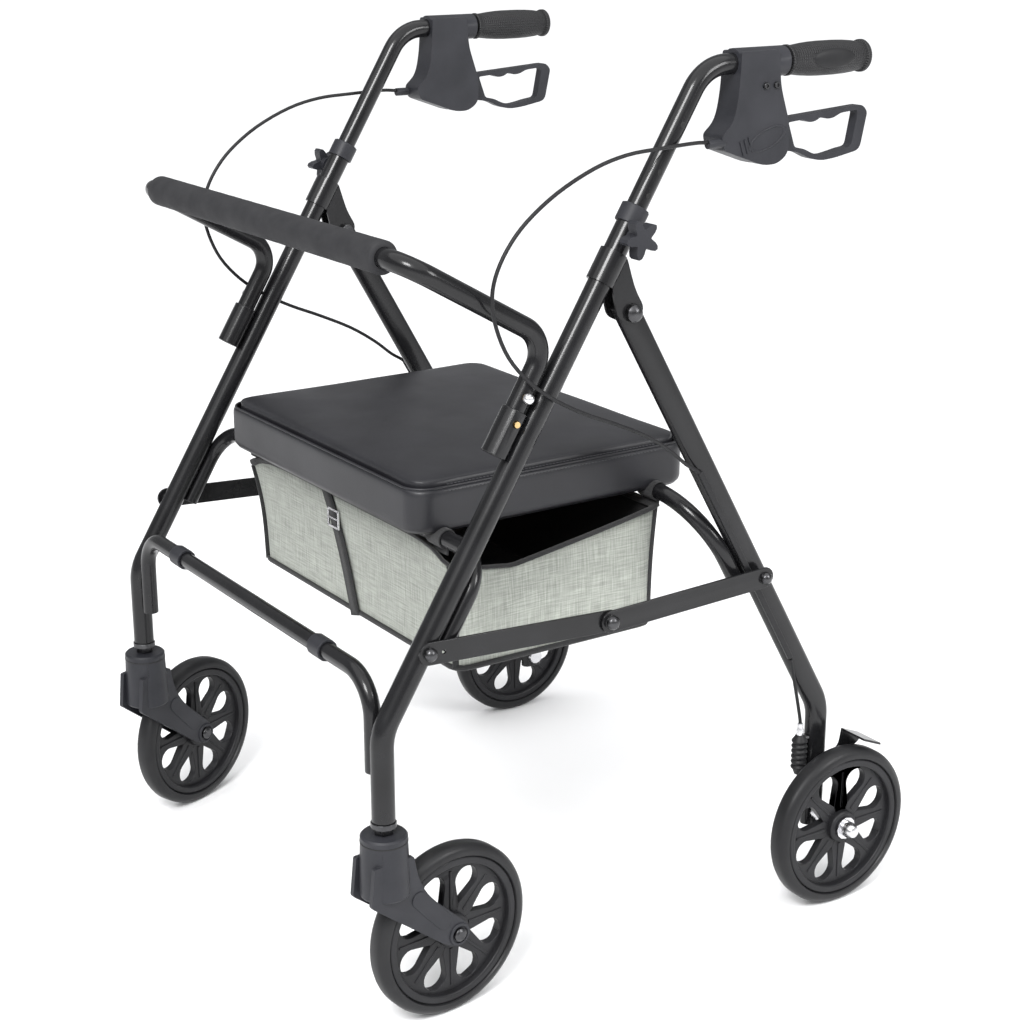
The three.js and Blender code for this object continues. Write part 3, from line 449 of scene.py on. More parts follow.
finishes = {
    "paint": grainedMaterial(
        "blackPaint", (0.006, 0.006, 0.0065), (0.010, 0.010, 0.011), 0.18, 0.27,
        {"Scale": 1100.0, "Strength": 0.05}, Specular_IOR_Level=0.24, Coat_Weight=0.15, Coat_Roughness=0.1,
    ),
    "plastic": grainedMaterial(
        "charcoalPlastic", (0.016, 0.0165, 0.020), (0.024, 0.0245, 0.029), 0.4, 0.52,
        {"Scale": 1400.0, "Strength": 0.16}, Specular_IOR_Level=0.26,
    ),
    "blackPlastic": grainedMaterial(
        "blackPlastic", (0.008, 0.008, 0.009), (0.013, 0.013, 0.014), 0.34, 0.46,
        {"Scale": 1300.0, "Strength": 0.12}, Specular_IOR_Level=0.24,
    ),
    "wheel": grainedMaterial(
        "wheelPlastic", (0.010, 0.010, 0.011), (0.016, 0.016, 0.018), 0.36, 0.5,
        {"Scale": 1000.0, "Strength": 0.14}, Specular_IOR_Level=0.24,
    ),
    "tyre": grainedMaterial(
        "tyreRubber", (0.008, 0.008, 0.009), (0.014, 0.014, 0.015), 0.34, 0.5,
        {"Scale": 800.0, "Strength": 0.12}, Specular_IOR_Level=0.26,
    ),
    "rubber": grainedMaterial(
        "blackRubber", (0.008, 0.008, 0.009), (0.013, 0.013, 0.014), 0.42, 0.56,
        {"Scale": 900.0, "Strength": 0.12}, Specular_IOR_Level=0.24,
    ),
    "steel": grainedMaterial(
        "zincSteel", (0.62, 0.62, 0.64), (0.74, 0.74, 0.75), 0.18, 0.34,
        {"Scale": 1500.0, "Strength": 0.08}, patch=40.0, Metallic=1.0,
    ),
    "darkSteel": grainedMaterial(
        "darkSteel", (0.055, 0.055, 0.058), (0.085, 0.085, 0.088), 0.24, 0.4,
        {"Scale": 1500.0, "Strength": 0.08}, patch=40.0, Metallic=1.0,
    ),
    "brass": grainedMaterial(
        "brassPin", (0.52, 0.36, 0.16), (0.66, 0.48, 0.24), 0.22, 0.36,
        {"Scale": 1500.0, "Strength": 0.08}, patch=60.0, Metallic=1.0,
    ),
    "vinyl": grainedMaterial(
        "seatVinyl", (0.009, 0.009, 0.011), (0.014, 0.014, 0.017), 0.34, 0.46,
        {"Scale": 900.0, "Strength": 0.16}, patch=9.0, pattern="leather", Specular_IOR_Level=0.4,
    ),
    "foam": grainedMaterial(
        "closedFoam", (0.016, 0.016, 0.018), (0.024, 0.024, 0.026), 0.7, 0.85,
        {"Scale": 1500.0, "Strength": 0.25, "Distance": 0.0004}, patch=30.0, Specular_IOR_Level=0.3,
    ),
    "thread": grainedMaterial(
        "seamThread", (0.020, 0.020, 0.023), (0.040, 0.040, 0.044), 0.5, 0.7,
        {"Scale": 2500.0, "Strength": 0.3}, patch=60.0,
    ),
    # near-black painted shade, put into shallow holes and grooves where only shade would fall
    "hole": grainedMaterial(
        "holeShade", (0.003, 0.003, 0.003), (0.005, 0.005, 0.005), 0.6, 0.8,
        {"Scale": 900.0, "Strength": 0.1},
    ),
    "basket": fabricMaterial(
        "heatheredLinen", (0.20, 0.212, 0.188), (0.39, 0.408, 0.368), 0.0014, 0.45, 0.08,
    ),
    "binding": fabricMaterial(
        "blackWebbing", (0.006, 0.006, 0.0065), (0.014, 0.014, 0.015), 0.0012, 0.6, 0.1,
    ),
    "lining": fabricMaterial(
        "blackLining", (0.005, 0.005, 0.0055), (0.009, 0.009, 0.010), 0.0014, 0.4, 0.05,
    ),
    "wood": woodMaterial("plywood", (0.30, 0.19, 0.10), (0.52, 0.37, 0.22)),
}
print("materials made")

# brake cables: one run follows the handle and the front leg, the other crosses to the rear leg

cable = {
    "radius": 0.0021,
    "upper": [
        (0.318, 0.0595, 0.931), (0.321, 0.040, 0.932), (0.323, -0.007, 0.930), (0.325, -0.050, 0.927),
        (0.327, -0.092, 0.917), (0.328, -0.138, 0.8965), (0.328, -0.175, 0.871), (0.328, -0.198, 0.846),
        (0.328, -0.212, 0.820), (0.328, -0.216, 0.796),
    ],
    "lower": [
        (0.328, -0.216, 0.796), (0.328, -0.211, 0.768), (0.328, -0.196, 0.736), (0.328, -0.170, 0.707),
        (0.328, -0.138, 0.684), (0.327, -0.100, 0.664), (0.325, -0.058, 0.646), (0.322, -0.014, 0.625),
        (0.319, 0.020, 0.603), (0.317, 0.0445, 0.583), (0.3164, 0.0635, 0.5705),
    ],
    "ahead": (0.3155, 0.078, 0.931),  # inside the housing
    "past": (0.316, 0.078, 0.552),  # inside the channel
}


def smoothRun(points, before, after, steps=4):
    # a smooth curve through the points; before and after set the directions at its ends
    chain = [Vector(p) for p in [before, *points, after]]
    run = [chain[1]]
    for i in range(1, len(chain) - 2):
        a, b, c, d = chain[i - 1 : i + 3]
        for step in range(1, steps + 1):
            t = step / steps
            curve = 2 * b + (c - a) * t + (2 * a - 5 * b + 4 * c - d) * t * t
            run.append(0.5 * (curve + (3 * b - a - 3 * c + d) * t * t * t))
    return run


def makeCables(side, sign):
    upper = [(sign * x, y, z) for x, y, z in cable["upper"]]
    lower = [(sign * x, y, z) for x, y, z in cable["lower"]]
    ahead, past = [(sign * x, y, z) for x, y, z in (cable["ahead"], cable["past"])]
    runs = {
        "upper": (smoothRun(upper, ahead, lower[1]), f"handle_{side}", "front_frame"),
        "lower": (smoothRun(lower, upper[-2], past), "front_frame", "rear_frame"),
    }
    for part, (run, first, second) in runs.items():
        bm = bmesh.new()
        sweepPoints(bm, run, cable["radius"], 12)
        piece = makePiece(f"brake_cable_{part}_{side}", bm, finishes["rubber"], None)
        if part == "upper":
            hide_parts(f"brake_cable_{side}")
        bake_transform(piece)


for side, sign in sides.items():
    makeCables(side, sign)
print("cables laid")

# frame tubes

tubes = {
    "barRadius": 0.0095,
    "handleRadius": 0.0111,
    "handleZ": 1.0088,
    "crossBar": (0.2832, -0.337, 0.4065, 0.302, 0.045),
    "frontSeat": (0.0225, 0.104, 0.209, 0.045),
    "rearSeat": (0.0248, 0.214, 0.3416, 0.078),
    "backrest": (0.011, -0.3008, 0.8384, -0.1329, 0.7433, 0.032),
    "frontFootZ": 0.2553,
    "rearFootZ": 0.084,
    "collarZ": 0.861,
    "pivotZ": 0.761,
    "handleEndY": 0.2794,
    "handleBend": 0.05,
    "rearLegHalf": (0.008, 0.015),
    "adjustHoles": [0.6187 + 0.0274 * n for n in range(4)],
    "holeProfile": [(0, -0.0012), (0.0030, -0.0012), (0.0032, 0.0), (0, 0.0001)],
}
outboard = Vector((1, 0, 0))


def makeTube(name, corners, bend, body, radius, deep=None):
    bm = bmesh.new()
    heading = (corners[1] - corners[0]).normalized()
    across = Vector((0, 1, 0))
    if abs(heading.x) < 0.9:
        across = (outboard - heading * heading.x).normalized()
    sweepBends(bm, corners, bend, across, radius, deep, 12, 32)
    makePiece(f"{name}_skin", bm, finishes["paint"], body, [name], bevel=0.0008)


def makeFrameTubes(side, sign):
    x = sign * legs["x"]
    collar = (tubes["collarZ"] - legs["frontKneeZ"]) / math.sin(legs["frontRake"]) + 0.005
    makeTube(
        f"front_leg_{side}",
        [Vector((x, legs["frontY"], tubes["frontFootZ"])), onFrontLeg(x, 0), onFrontLeg(x, collar)],
        legs["kneeBend"], "front_frame", legs["tubeRadius"],
    )
    elbow = (tubes["handleZ"] - legs["frontKneeZ"]) / math.sin(legs["frontRake"])
    makeTube(
        f"handle_tube_{side}",
        [onFrontLeg(x, 0.52), onFrontLeg(x, elbow), Vector((x, tubes["handleEndY"], tubes["handleZ"]))],
        tubes["handleBend"], f"handle_{side}", tubes["handleRadius"],
    )
    pivot = (tubes["pivotZ"] - legs["rearKneeZ"]) / math.sin(legs["rearRake"]) + 0.013
    makeTube(
        f"rear_leg_{side}",
        [Vector((x, legs["rearY"], tubes["rearFootZ"])), onRearLeg(x, 0), onRearLeg(x, pivot)],
        legs["kneeBend"], "rear_frame", *tubes["rearLegHalf"],
    )
    bm = bmesh.new()
    for along in tubes["adjustHoles"]:
        face = onFrontLeg(x + sign * tubes["handleRadius"], along)
        lathe(bm, tubes["holeProfile"], face, (sign, 0, 0), 20)
    # the holes are shallow dishes painted near-black: painted shade
    makePiece(f"adjust_holes_{side}", bm, finishes["hole"], f"handle_{side}")


def mirrored(half):
    return [Vector(p) for p in half] + [Vector((-p[0], p[1], p[2])) for p in reversed(half)]


for side, sign in sides.items():
    makeFrameTubes(side, sign)

x, y, z, stub, bend = tubes["crossBar"]
makeTube("cross_bar", mirrored([(x, y, stub), (x, y, z)]), bend, "front_frame", tubes["barRadius"])
offset, low, high, bend = tubes["frontSeat"]
half = [onFrontLeg(legs["x"], low, offset), onFrontLeg(legs["x"], high, offset)]
makeTube("front_seat_tube", mirrored(half), bend, "front_frame", tubes["barRadius"])
offset, low, high, bend = tubes["rearSeat"]
half = [onRearLeg(legs["x"], low, offset), onRearLeg(legs["x"], high, offset)]
makeTube("rear_seat_tube", mirrored(half), bend, "rear_frame", tubes["barRadius"])
radius, y, z, elbowY, elbowZ, bend = tubes["backrest"]
half = [onFrontLeg(legs["x"], 0.314, -0.027), (legs["x"], elbowY, elbowZ), (legs["x"], y, z)]
makeTube("backrest_bar", mirrored(half), bend, "backrest", radius)
print("frame tubes bent")

# small fittings that keep their solid's shape

fittings = {
    "pivot_gusset": ("paint", "front_frame", "black_paint", 0.0008),
    "backrest_socket": ("paint", "front_frame", "black_paint", 0.0008),
    "height_collar": ("plastic", "front_frame", "charcoal_plastic", 0.001),
    "star_knob": ("plastic", "star_knob_{}", "charcoal_plastic", 0.0016),
    "snap_button": ("brass", "snap_button_{}", "zinc_steel", 0.0005),
    "brake_housing": ("plastic", "handle_{}", "charcoal_plastic", 0.0018),
    "brake_lever": ("plastic", "brake_lever_{}", "charcoal_plastic", 0.0018),
    "brake_arm": ("paint", "brake_arm_{}", "black_paint", 0.0006),
    "front_link": ("paint", "front_link_{}", "black_paint", 0.0006),
    "rear_link": ("paint", "rear_link_{}", "black_paint", 0.0006),
    "caster_fork": ("plastic", "caster_{}", "charcoal_plastic", 0.0014),
    "caster_axle": ("darkSteel", "caster_{}", "zinc_steel", 0.0006),
    "caster_stem": ("darkSteel", "front_frame", "zinc_steel", 0.0006),
    "cross_bar_clip": ("plastic", "front_frame", "charcoal_plastic", 0.0008),
    "pivot_bolt": ("darkSteel", "front_frame", "zinc_steel", 0.0006),
    "rear_axle": ("steel", "rear_frame", "zinc_steel", 0.0006),
    "cable_channel": ("blackPlastic", "rear_frame", "charcoal_plastic", 0.0008),
    "seat_hinge_clamp": ("plastic", "seat", "charcoal_plastic", 0.001),
}

for fitting, (finish, body, slot, bevel) in fittings.items():
    for side in sides:
        angle = 28 if fitting == "caster_fork" else 38
        refined(f"{fitting}_{side}", finishes[finish], body.format(side), bevel, angle)
refined("seat_board", finishes["wood"], "seat", 0.0008)
print("fittings refined")

# wheels

wheel = {
    "radius": 0.100,
    "halfWidth": 0.013,
    "rim": 0.086,
    "rimInner": 0.077,
    "hub": 0.020,
    "hubHalf": 0.014,
    "bore": 0.0063,
    "spokes": 8,
    "webHalf": 0.005,
    "windowTip": 0.029,
    "windowMiddle": 0.058,
    "windowRadius": 0.015,
    "ribSpan": (0.024, 0.070),
    "ribHalf": 0.0018,
    "ribProud": 0.0012,
    "casterTurn": {"left": 5.2, "right": 21.6},  # degrees, as each caster stands
}


def wheelWeb(bm, centre, axis, across):
    # one spoke between two drop-shaped windows, turned round for all the spokes
    pitch = 2 * math.pi / wheel["spokes"]
    up = axis.cross(across)

    def point(r, angle):
        return centre + (across * math.cos(angle) + up * math.sin(angle)) * r - axis * wheel["webHalf"]

    def drop(sign):
        # the window's side that faces this spoke, from its inner tip to its outermost point
        middle = sign * pitch / 2
        spots = [(wheel["windowTip"], 0.0)]
        for degrees in (-112, -96, -80, -64, -48, -32, -16, 0):
            turn = math.radians(degrees)
            r = wheel["windowRadius"]
            spots.append((wheel["windowMiddle"] + r * math.cos(turn), r * math.sin(turn)))
        made = []
        for r, aside in spots:
            made.append(point(math.hypot(r, aside), middle + sign * math.atan2(aside, r)))
        return made

    inner = [point(wheel["hub"] - 0.002, a * pitch / 2) for a in (-1, -0.5, 0, 0.5, 1)]
    outer = [point(wheel["rimInner"] + 0.002, a * pitch / 2) for a in (1, 0.5, 0, -0.5, -1)]
    outline = inner + drop(1) + outer + list(reversed(drop(-1)))
    part = bmesh.new()
    plate(part, outline, axis * 2 * wheel["webHalf"])
    root, tip = [point(r, 0) - axis * wheel["ribProud"] for r in wheel["ribSpan"]]
    thick = up * wheel["ribHalf"]
    rib = [root - thick, tip - thick * 0.8, tip + thick * 0.8, root + thick]
    plate(part, rib, axis * 2 * (wheel["webHalf"] + wheel["ribProud"]))
    bmesh.ops.spin(
        part,
        geom=part.verts[:] + part.edges[:] + part.faces[:],
        cent=centre,
        axis=axis,
        dvec=(0, 0, 0),
        angle=2 * math.pi,
        steps=wheel["spokes"],
        use_duplicate=True,
    )
    held = bpy.data.meshes.new("webHeld")
    part.to_mesh(held)
    part.free()
    bm.from_mesh(held)
    bpy.data.meshes.remove(held)


def makeWheel(node, body, axis):
    low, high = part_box(node)
    centre = (low + high) / 2
    axis = Vector(axis).normalized()
    across = Vector((0, 0, 1))
    bm = bmesh.new()
    w = wheel
    lathe(
        bm,
        [
            (w["rimInner"], -0.0105), (0.0785, -0.0118), (0.0845, -0.0118), (w["rim"], -0.0105),
            (w["rim"], 0.0105), (0.0845, 0.0118), (0.0785, 0.0118), (w["rimInner"], 0.0105),
            (0.0764, 0.004), (0.0764, -0.004),
        ],
        centre, axis, 96, closed=True,
    )
    lathe(
        bm,
        [
            (w["bore"], -w["hubHalf"]), (0.0105, -w["hubHalf"]), (0.0112, -0.0128), (0.0180, -0.0124),
            (w["hub"], -0.0105), (w["hub"], 0.0105), (0.0180, 0.0124), (0.0112, 0.0128),
            (0.0105, w["hubHalf"]), (w["bore"], w["hubHalf"]),
        ],
        centre, axis, 48, closed=True,
    )
    wheelWeb(bm, centre, axis, across)
    makePiece(f"{node}_rim", bm, finishes["wheel"], body, [node], bevel=0.0008)
    bm = bmesh.new()
    half = w["halfWidth"]
    lathe(
        bm,
        [
            (0.0862, -half + 0.002), (0.0875, -half), (0.092, -half), (0.0955, -half + 0.0015),
            (0.0985, -half + 0.004), (w["radius"], -half + 0.0075), (w["radius"], half - 0.0075),
            (0.0985, half - 0.004), (0.0955, half - 0.0015), (0.092, half), (0.0875, half),
            (0.0862, half - 0.002),
        ],
        centre, axis, 128, closed=True,
    )
    makePiece(f"{node}_tyre", bm, finishes["tyre"], body, angle=50)


for side, sign in sides.items():
    makeWheel(f"rear_wheel_{side}", f"rear_wheel_{side}", (sign, 0, 0))
    turn = math.radians(wheel["casterTurn"][side])
    makeWheel(f"caster_wheel_{side}", f"caster_wheel_{side}", (math.cos(turn), math.sin(turn), 0))
print("wheels turned")

# handle grips

grip = {
    "profile": [
        (0.0114, 0.0), (0.0160, 0.0), (0.0165, 0.0010), (0.0165, 0.0030), (0.0155, 0.0045), (0.0158, 0.010),
        (0.0172, 0.022), (0.0181, 0.034), (0.0185, 0.046), (0.0185, 0.068), (0.0180, 0.082), (0.0170, 0.094),
        (0.0156, 0.103), (0.0153, 0.1055), (0.0172, 0.1062), (0.0176, 0.1075), (0.0176, 0.1105),
        (0.0168, 0.1118), (0.0100, 0.112), (0.0, 0.112), (0.0, 0.109), (0.0114, 0.109),
    ],
    "colour": (0.010, 0.010, 0.011),
    "diamondsRound": 18.0,
    "diamondsAlong": 1100.0,
    "padSize": (0.0030, 0.030, 0.0105),
    "padOut": 0.0170,
    "padUp": 0.001,
}


def gripMaterial(name, axisX, axisZ):
    # rows of small raised diamonds wound round the grip
    material, tree, shader = newMaterial(name, Roughness=0.55)
    shader.inputs["Base Color"].default_value = (*grip["colour"], 1)
    shader.inputs["Specular IOR Level"].default_value = 0.4
    coordinates = tree.nodes.new("ShaderNodeTexCoord")
    centre = tree.nodes.new("ShaderNodeMapping")
    centre.inputs["Location"].default_value = (-axisX, 0, -axisZ)
    split = tree.nodes.new("ShaderNodeSeparateXYZ")
    tree.links.new(coordinates.outputs["Object"], centre.inputs["Vector"])
    tree.links.new(centre.outputs[0], split.inputs[0])
    angle = mathNode(tree, "ARCTAN2", split.outputs["Z"], split.outputs["X"])
    turned = mathNode(tree, "MULTIPLY", angle, grip["diamondsRound"])
    length = mathNode(tree, "MULTIPLY", split.outputs["Y"], grip["diamondsAlong"])
    rising = mathNode(tree, "SINE", mathNode(tree, "ADD", turned, length))
    falling = mathNode(tree, "SINE", mathNode(tree, "SUBTRACT", turned, length))
    bump = tree.nodes.new("ShaderNodeBump")
    bump.inputs["Strength"].default_value = 0.6
    bump.inputs["Distance"].default_value = 0.0012
    tree.links.new(mathNode(tree, "MULTIPLY", rising, falling), bump.inputs["Height"])
    tree.links.new(bump.outputs["Normal"], shader.inputs["Normal"])
    marks = placeGroup(tree, "handling", Scale=30.0, Low=0.45, High=0.65)
    tree.links.new(marks.outputs["Value"], shader.inputs["Roughness"])
    return material


def makeGrip(side, sign):
    low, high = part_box(f"handle_grip_{side}")
    middle = (low + high) / 2
    start = Vector((middle.x, low.y, middle.z))
    bm = bmesh.new()
    lathe(bm, grip["profile"], start, (0, 1, 0), 64, closed=True)
    rubber = gripMaterial(f"gripRubber_{side}", middle.x, middle.z)
    body = f"handle_{side}"
    makePiece(f"grip_{side}", bm, rubber, body, [f"handle_grip_{side}"], angle=50)
    bm = bmesh.new()  # smooth thumb pad on the outboard side
    pad = bmesh.ops.create_uvsphere(bm, u_segments=32, v_segments=16, radius=1)["verts"]
    bmesh.ops.scale(bm, vec=grip["padSize"], verts=pad)
    bmesh.ops.translate(bm, vec=middle + Vector((sign * grip["padOut"], 0, grip["padUp"])), verts=pad)
    makePiece(f"grip_pad_{side}", bm, finishes["rubber"], body)


for side, sign in sides.items():
    makeGrip(side, sign)
print("grips made")

# backrest foam

foam = {"radius": 0.0175, "bore": 0.0113, "half": 0.264, "rings": 40, "unevenness": 0.00008, "give": 0.9}


def makeFoam():
    low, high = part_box("backrest_foam")
    centre = (low + high) / 2
    half, radius, bore = foam["half"], foam["radius"], foam["bore"]
    profile = [(bore, -half), (radius - 0.002, -half), (radius, -half + 0.003)]
    for i in range(1, foam["rings"]):
        place = -half + 0.003 + (2 * half - 0.006) * i / foam["rings"]
        profile.append((radius + foam["unevenness"] * math.sin(i * 2.3), place))
    profile += [(radius, half - 0.003), (radius - 0.002, half), (bore, half)]
    bm = bmesh.new()
    lathe(bm, profile, centre, (1, 0, 0), 48, closed=True)
    sleeve = makePiece("foam_sleeve", bm, finishes["foam"], "backrest", ["backrest_foam"], 60)


makeFoam()
print("foam made")

# seat: a simulated pad, its boxing, the welt and the hem

seat = {
    "halfWidth": 0.2250,
    "front": -0.2480,
    "rear": 0.1255,
    "corner": 0.030,
    "padBottom": 0.5475,
    "seamZ": 0.5750,
    "edgeRise": 0.0095,
    "edgeRun": 0.016,
    "crown": 0.0035,
    "hemZ": 0.5260,
    "voxel": 0.006,
    "pressure": 4.0,
    "cap": 0.006,
    "frames": 20,
    "padInset": 0.0032,
    "padTall": 0.031,
    "padClear": 0.0022,  # between the pad and the boxing's line
    "rollFrom": 0.014,  # above the pad's bottom, where the top starts to take its shape
    "rollOver": 0.010,
    "boxingInset": 0.0045,
    "boxingLevels": 12,
    "seamInset": 0.0030,
    "seamRadius": 0.0013,
    "stitch": (0.0009, 0.0030, 0.0008),
    "stitchPitch": 0.0046,
    "stitchRows": ((0.0038, 0.0036), (-0.0030, 0.0002)),  # above the seam, inwards
    "give": 0.7,
}


def seatTurns(z, inset=0.0):
    x = seat["halfWidth"] - inset
    front = seat["front"] + inset
    rear = seat["rear"] - inset
    return [Vector(spot) for spot in ((x, front, z), (x, rear, z), (-x, rear, z), (-x, front, z))]


def seatMiddle():
    return Vector((0, (seat["front"] + seat["rear"]) / 2, 0))


def seatLoop(bm, z, inset, count=10):
    # the seat's rounded outline as a flat face
    face = bm.faces.new([bm.verts.new(spot) for spot in seatTurns(z, inset)])
    bmesh.ops.bevel(
        bm,
        geom=face.verts[:],
        affect="VERTICES",
        offset=seat["corner"] - inset,
        segments=count,
        profile=0.5,
        material=-1,
    )
    bm.faces.ensure_lookup_table()
    return bm.faces[0]


def edgeDistance(x, y):
    # how far a place is inside the seat's rounded outline
    deep = (seat["rear"] - seat["front"]) / 2
    a = abs(x) - seat["halfWidth"] + seat["corner"]
    b = abs(y - seatMiddle().y) - deep + seat["corner"]
    outside = math.hypot(max(a, 0.0), max(b, 0.0)) + min(max(a, b), 0.0)
    return seat["corner"] - outside


def padTop(x, y):
    # the top rolls up from the seam and crowns a little towards the middle
    inside = max(0.0, edgeDistance(x, y) - 0.0015)
    roll = 1 - min(1.0, inside / seat["edgeRun"])
    crown = 1 - (1 - min(1.0, inside / 0.15)) ** 2
    return seat["seamZ"] + seat["edgeRise"] * math.sqrt(1 - roll * roll) + seat["crown"] * crown


def finalMesh(piece):
    return bpy.data.meshes.new_from_object(piece.evaluated_get(bpy.context.evaluated_depsgraph_get()))


def simulatePad(mesh):
    pad = bpy.data.objects.new("padTrial", mesh)
    bpy.context.collection.objects.link(pad)
    cloth = addModifier(pad, "CLOTH")
    cloth.settings.use_pressure = True
    cloth.settings.uniform_pressure_force = seat["pressure"]
    cloth.settings.effector_weights.gravity = 0
    cloth.settings.quality = 5
    cloth.point_cache.frame_start = 1
    cloth.point_cache.frame_end = seat["frames"]
    for number in range(1, seat["frames"] + 1):
        bpy.context.scene.frame_set(number)
    swollen = finalMesh(pad)
    for before, after in zip(mesh.vertices, swollen.vertices):
        move = after.co - before.co
        if move.length > seat["cap"]:
            move = move.normalized() * seat["cap"]
        if before.co.z < seat["padBottom"] + 0.004:
            move.z = 0
        before.co = before.co + move
    bpy.data.objects.remove(pad)
    bpy.data.meshes.remove(swollen)
    bpy.context.scene.frame_set(1)


def makePad():
    bm = bmesh.new()
    face = seatLoop(bm, seat["padBottom"], seat["padInset"])
    made = bmesh.ops.extrude_face_region(bm, geom=[face])
    bmesh.ops.translate(bm, verts=newVerts(made), vec=(0, 0, seat["padTall"]))
    bmesh.ops.recalc_face_normals(bm, faces=bm.faces)
    mesh = bpy.data.meshes.new("padShape")
    bm.to_mesh(mesh)
    bm.free()
    rough = bpy.data.objects.new("padShape", mesh)
    bpy.context.collection.objects.link(rough)
    addModifier(rough, "REMESH", mode="VOXEL", voxel_size=seat["voxel"])
    dense = finalMesh(rough)
    bpy.data.objects.remove(rough)
    simulatePad(dense)
    bm = bmesh.new()
    bm.from_mesh(dense)
    middle = seatMiddle()
    for v in bm.verts:
        for _ in range(6):
            over = seat["padClear"] - edgeDistance(v.co.x, v.co.y)
            if over <= 0:
                break
            away = Vector((v.co.x - middle.x, v.co.y - middle.y, 0))
            v.co -= away.normalized() * over
        if v.co.z > seat["padBottom"] + seat["rollFrom"]:
            swollen = 0.12 * (v.co.z - seat["seamZ"] - seat["edgeRise"])
            aim = padTop(v.co.x, v.co.y)
            aim += 0.0010 * noise.noise(Vector((v.co.x * 7, v.co.y * 7, 3)))
            share = min(1.0, (v.co.z - seat["padBottom"] - seat["rollFrom"]) / seat["rollOver"])
            v.co.z += (aim + max(-0.001, min(0.001, swollen)) - v.co.z) * share
        v.co.z = max(v.co.z, seat["padBottom"])
    axes = {f"use_axis_{axis}": True for axis in "xyz"}
    bmesh.ops.smooth_vert(bm, verts=bm.verts, factor=0.5, **axes)
    pad = makePiece(
        "seat_pad", bm, finishes["vinyl"], "seat", ["seat_cushion"], angle=80, smooth=1
    )


def makeBoxing():
    # the sewn side band, from the seam down past the board, rolled under at its lower edge
    bm = bmesh.new()
    face = seatLoop(bm, seat["hemZ"], seat["boxingInset"])
    ring = face.verts[:]
    bmesh.ops.delete(bm, geom=[face], context="FACES_ONLY")
    middle = seatMiddle()
    wide = seat["halfWidth"]
    bands = [(-seat["boxingInset"], 0.0)]
    for level in range(1, seat["boxingLevels"] + 1):
        share = level / seat["boxingLevels"]
        rise = (seat["seamZ"] + 0.0010 - seat["hemZ"]) * share
        curl = 0.0040 * max(0.0, 1 - share / 0.16) ** 2  # under at the hem
        curl += 0.0022 * max(0.0, (share - 0.86) / 0.14) ** 2  # in at the seam
        bands.append((-0.0005 - curl, rise))
    for (grown, below), (wanted, above) in zip(bands, bands[1:]):
        ring = pushRing(bm, ring, Vector((0, 0, above - below)))
        factor = (wide + wanted) / (wide + grown)
        bmesh.ops.scale(bm, vec=(factor, factor, 1), verts=ring, space=Matrix.Translation(-middle))
    band = makePiece("seat_boxing", bm, finishes["vinyl"], None, angle=80)
    addModifier(band, "SOLIDIFY", thickness=0.0014, offset=-1.0)
    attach(band, "seat")


def makeSeatTrim():
    # the seam's narrow ridge and two rows of stitches beside it
    bm = bmesh.new()
    inset = seat["seamInset"]
    turns = seatTurns(seat["seamZ"] + 0.0012, inset)
    start = (turns[0] + turns[3]) / 2
    sweepBends(
        bm, [start, *turns, start.copy()], seat["corner"] - inset,
        Vector((0, 1, 0)), seat["seamRadius"], None, 14, 10, True,
    )
    makePiece("seat_seam", bm, finishes["vinyl"], "seat", angle=80)
    bm = bmesh.new()
    pitch = seat["stitchPitch"]
    count = int((seat["rear"] - seat["front"] - 0.09) / pitch)
    for sign in (1, -1):
        for lift, inward in seat["stitchRows"]:
            for i in range(count):
                y = seat["front"] + 0.045 + i * pitch
                block(bm, (sign * (seat["halfWidth"] - inward), y, seat["seamZ"] + lift), seat["stitch"])
    makePiece("seat_stitches", bm, finishes["thread"], "seat")


makePad()
makeBoxing()
makeSeatTrim()
print("seat upholstered")

# basket: a sagging bag with bound edges, a strap and its buckle

basket = {
    "halfTop": 0.2365,
    "halfBottom": 0.230,
    "frontTop": -0.2125,
    "frontBottom": -0.199,
    "rearTop": 0.0735,
    "rearBottom": 0.0705,
    "top": 0.508,
    "bottom": 0.366,
    "dip": 0.031,
    "cornerDrop": 0.022,
    "dipAt": 0.26,
    "corner": 0.016,
    "levels": 14,
    "around": 120,
    "flat": (0.95, 0.60),
    "rimTape": (0.0065, 12, 0.36),  # radius, sides, flattening
    "seamTape": (0.005, 12, 0.5),
    "baseTape": (0.0045, 10, 0.7),
    "tapeSteps": 160,
    "seamSteps": 24,
}


def bagDip(side, x, ahead):
    # the rim is gathered down at the front corners and dips in a shallow V along each side
    b = basket
    if side <= 0:
        return b["cornerDrop"] * (abs(x) / b["halfTop"]) ** 9 if ahead else 0.0
    if side < b["dipAt"]:
        return b["cornerDrop"] + (b["dip"] - b["cornerDrop"]) * side / b["dipAt"]
    return b["dip"] * (1 - (side - b["dipAt"]) / (1 - b["dipAt"])) ** 0.9


def bagRuns(halfX, deep):
    # half the way round: half the front, a corner, a side, a corner; and the whole way round
    corner = basket["corner"]
    runs = [halfX - corner, corner * math.pi / 2, deep - 2 * corner, corner * math.pi / 2]
    return runs, 2 * (sum(runs) + halfX - corner)


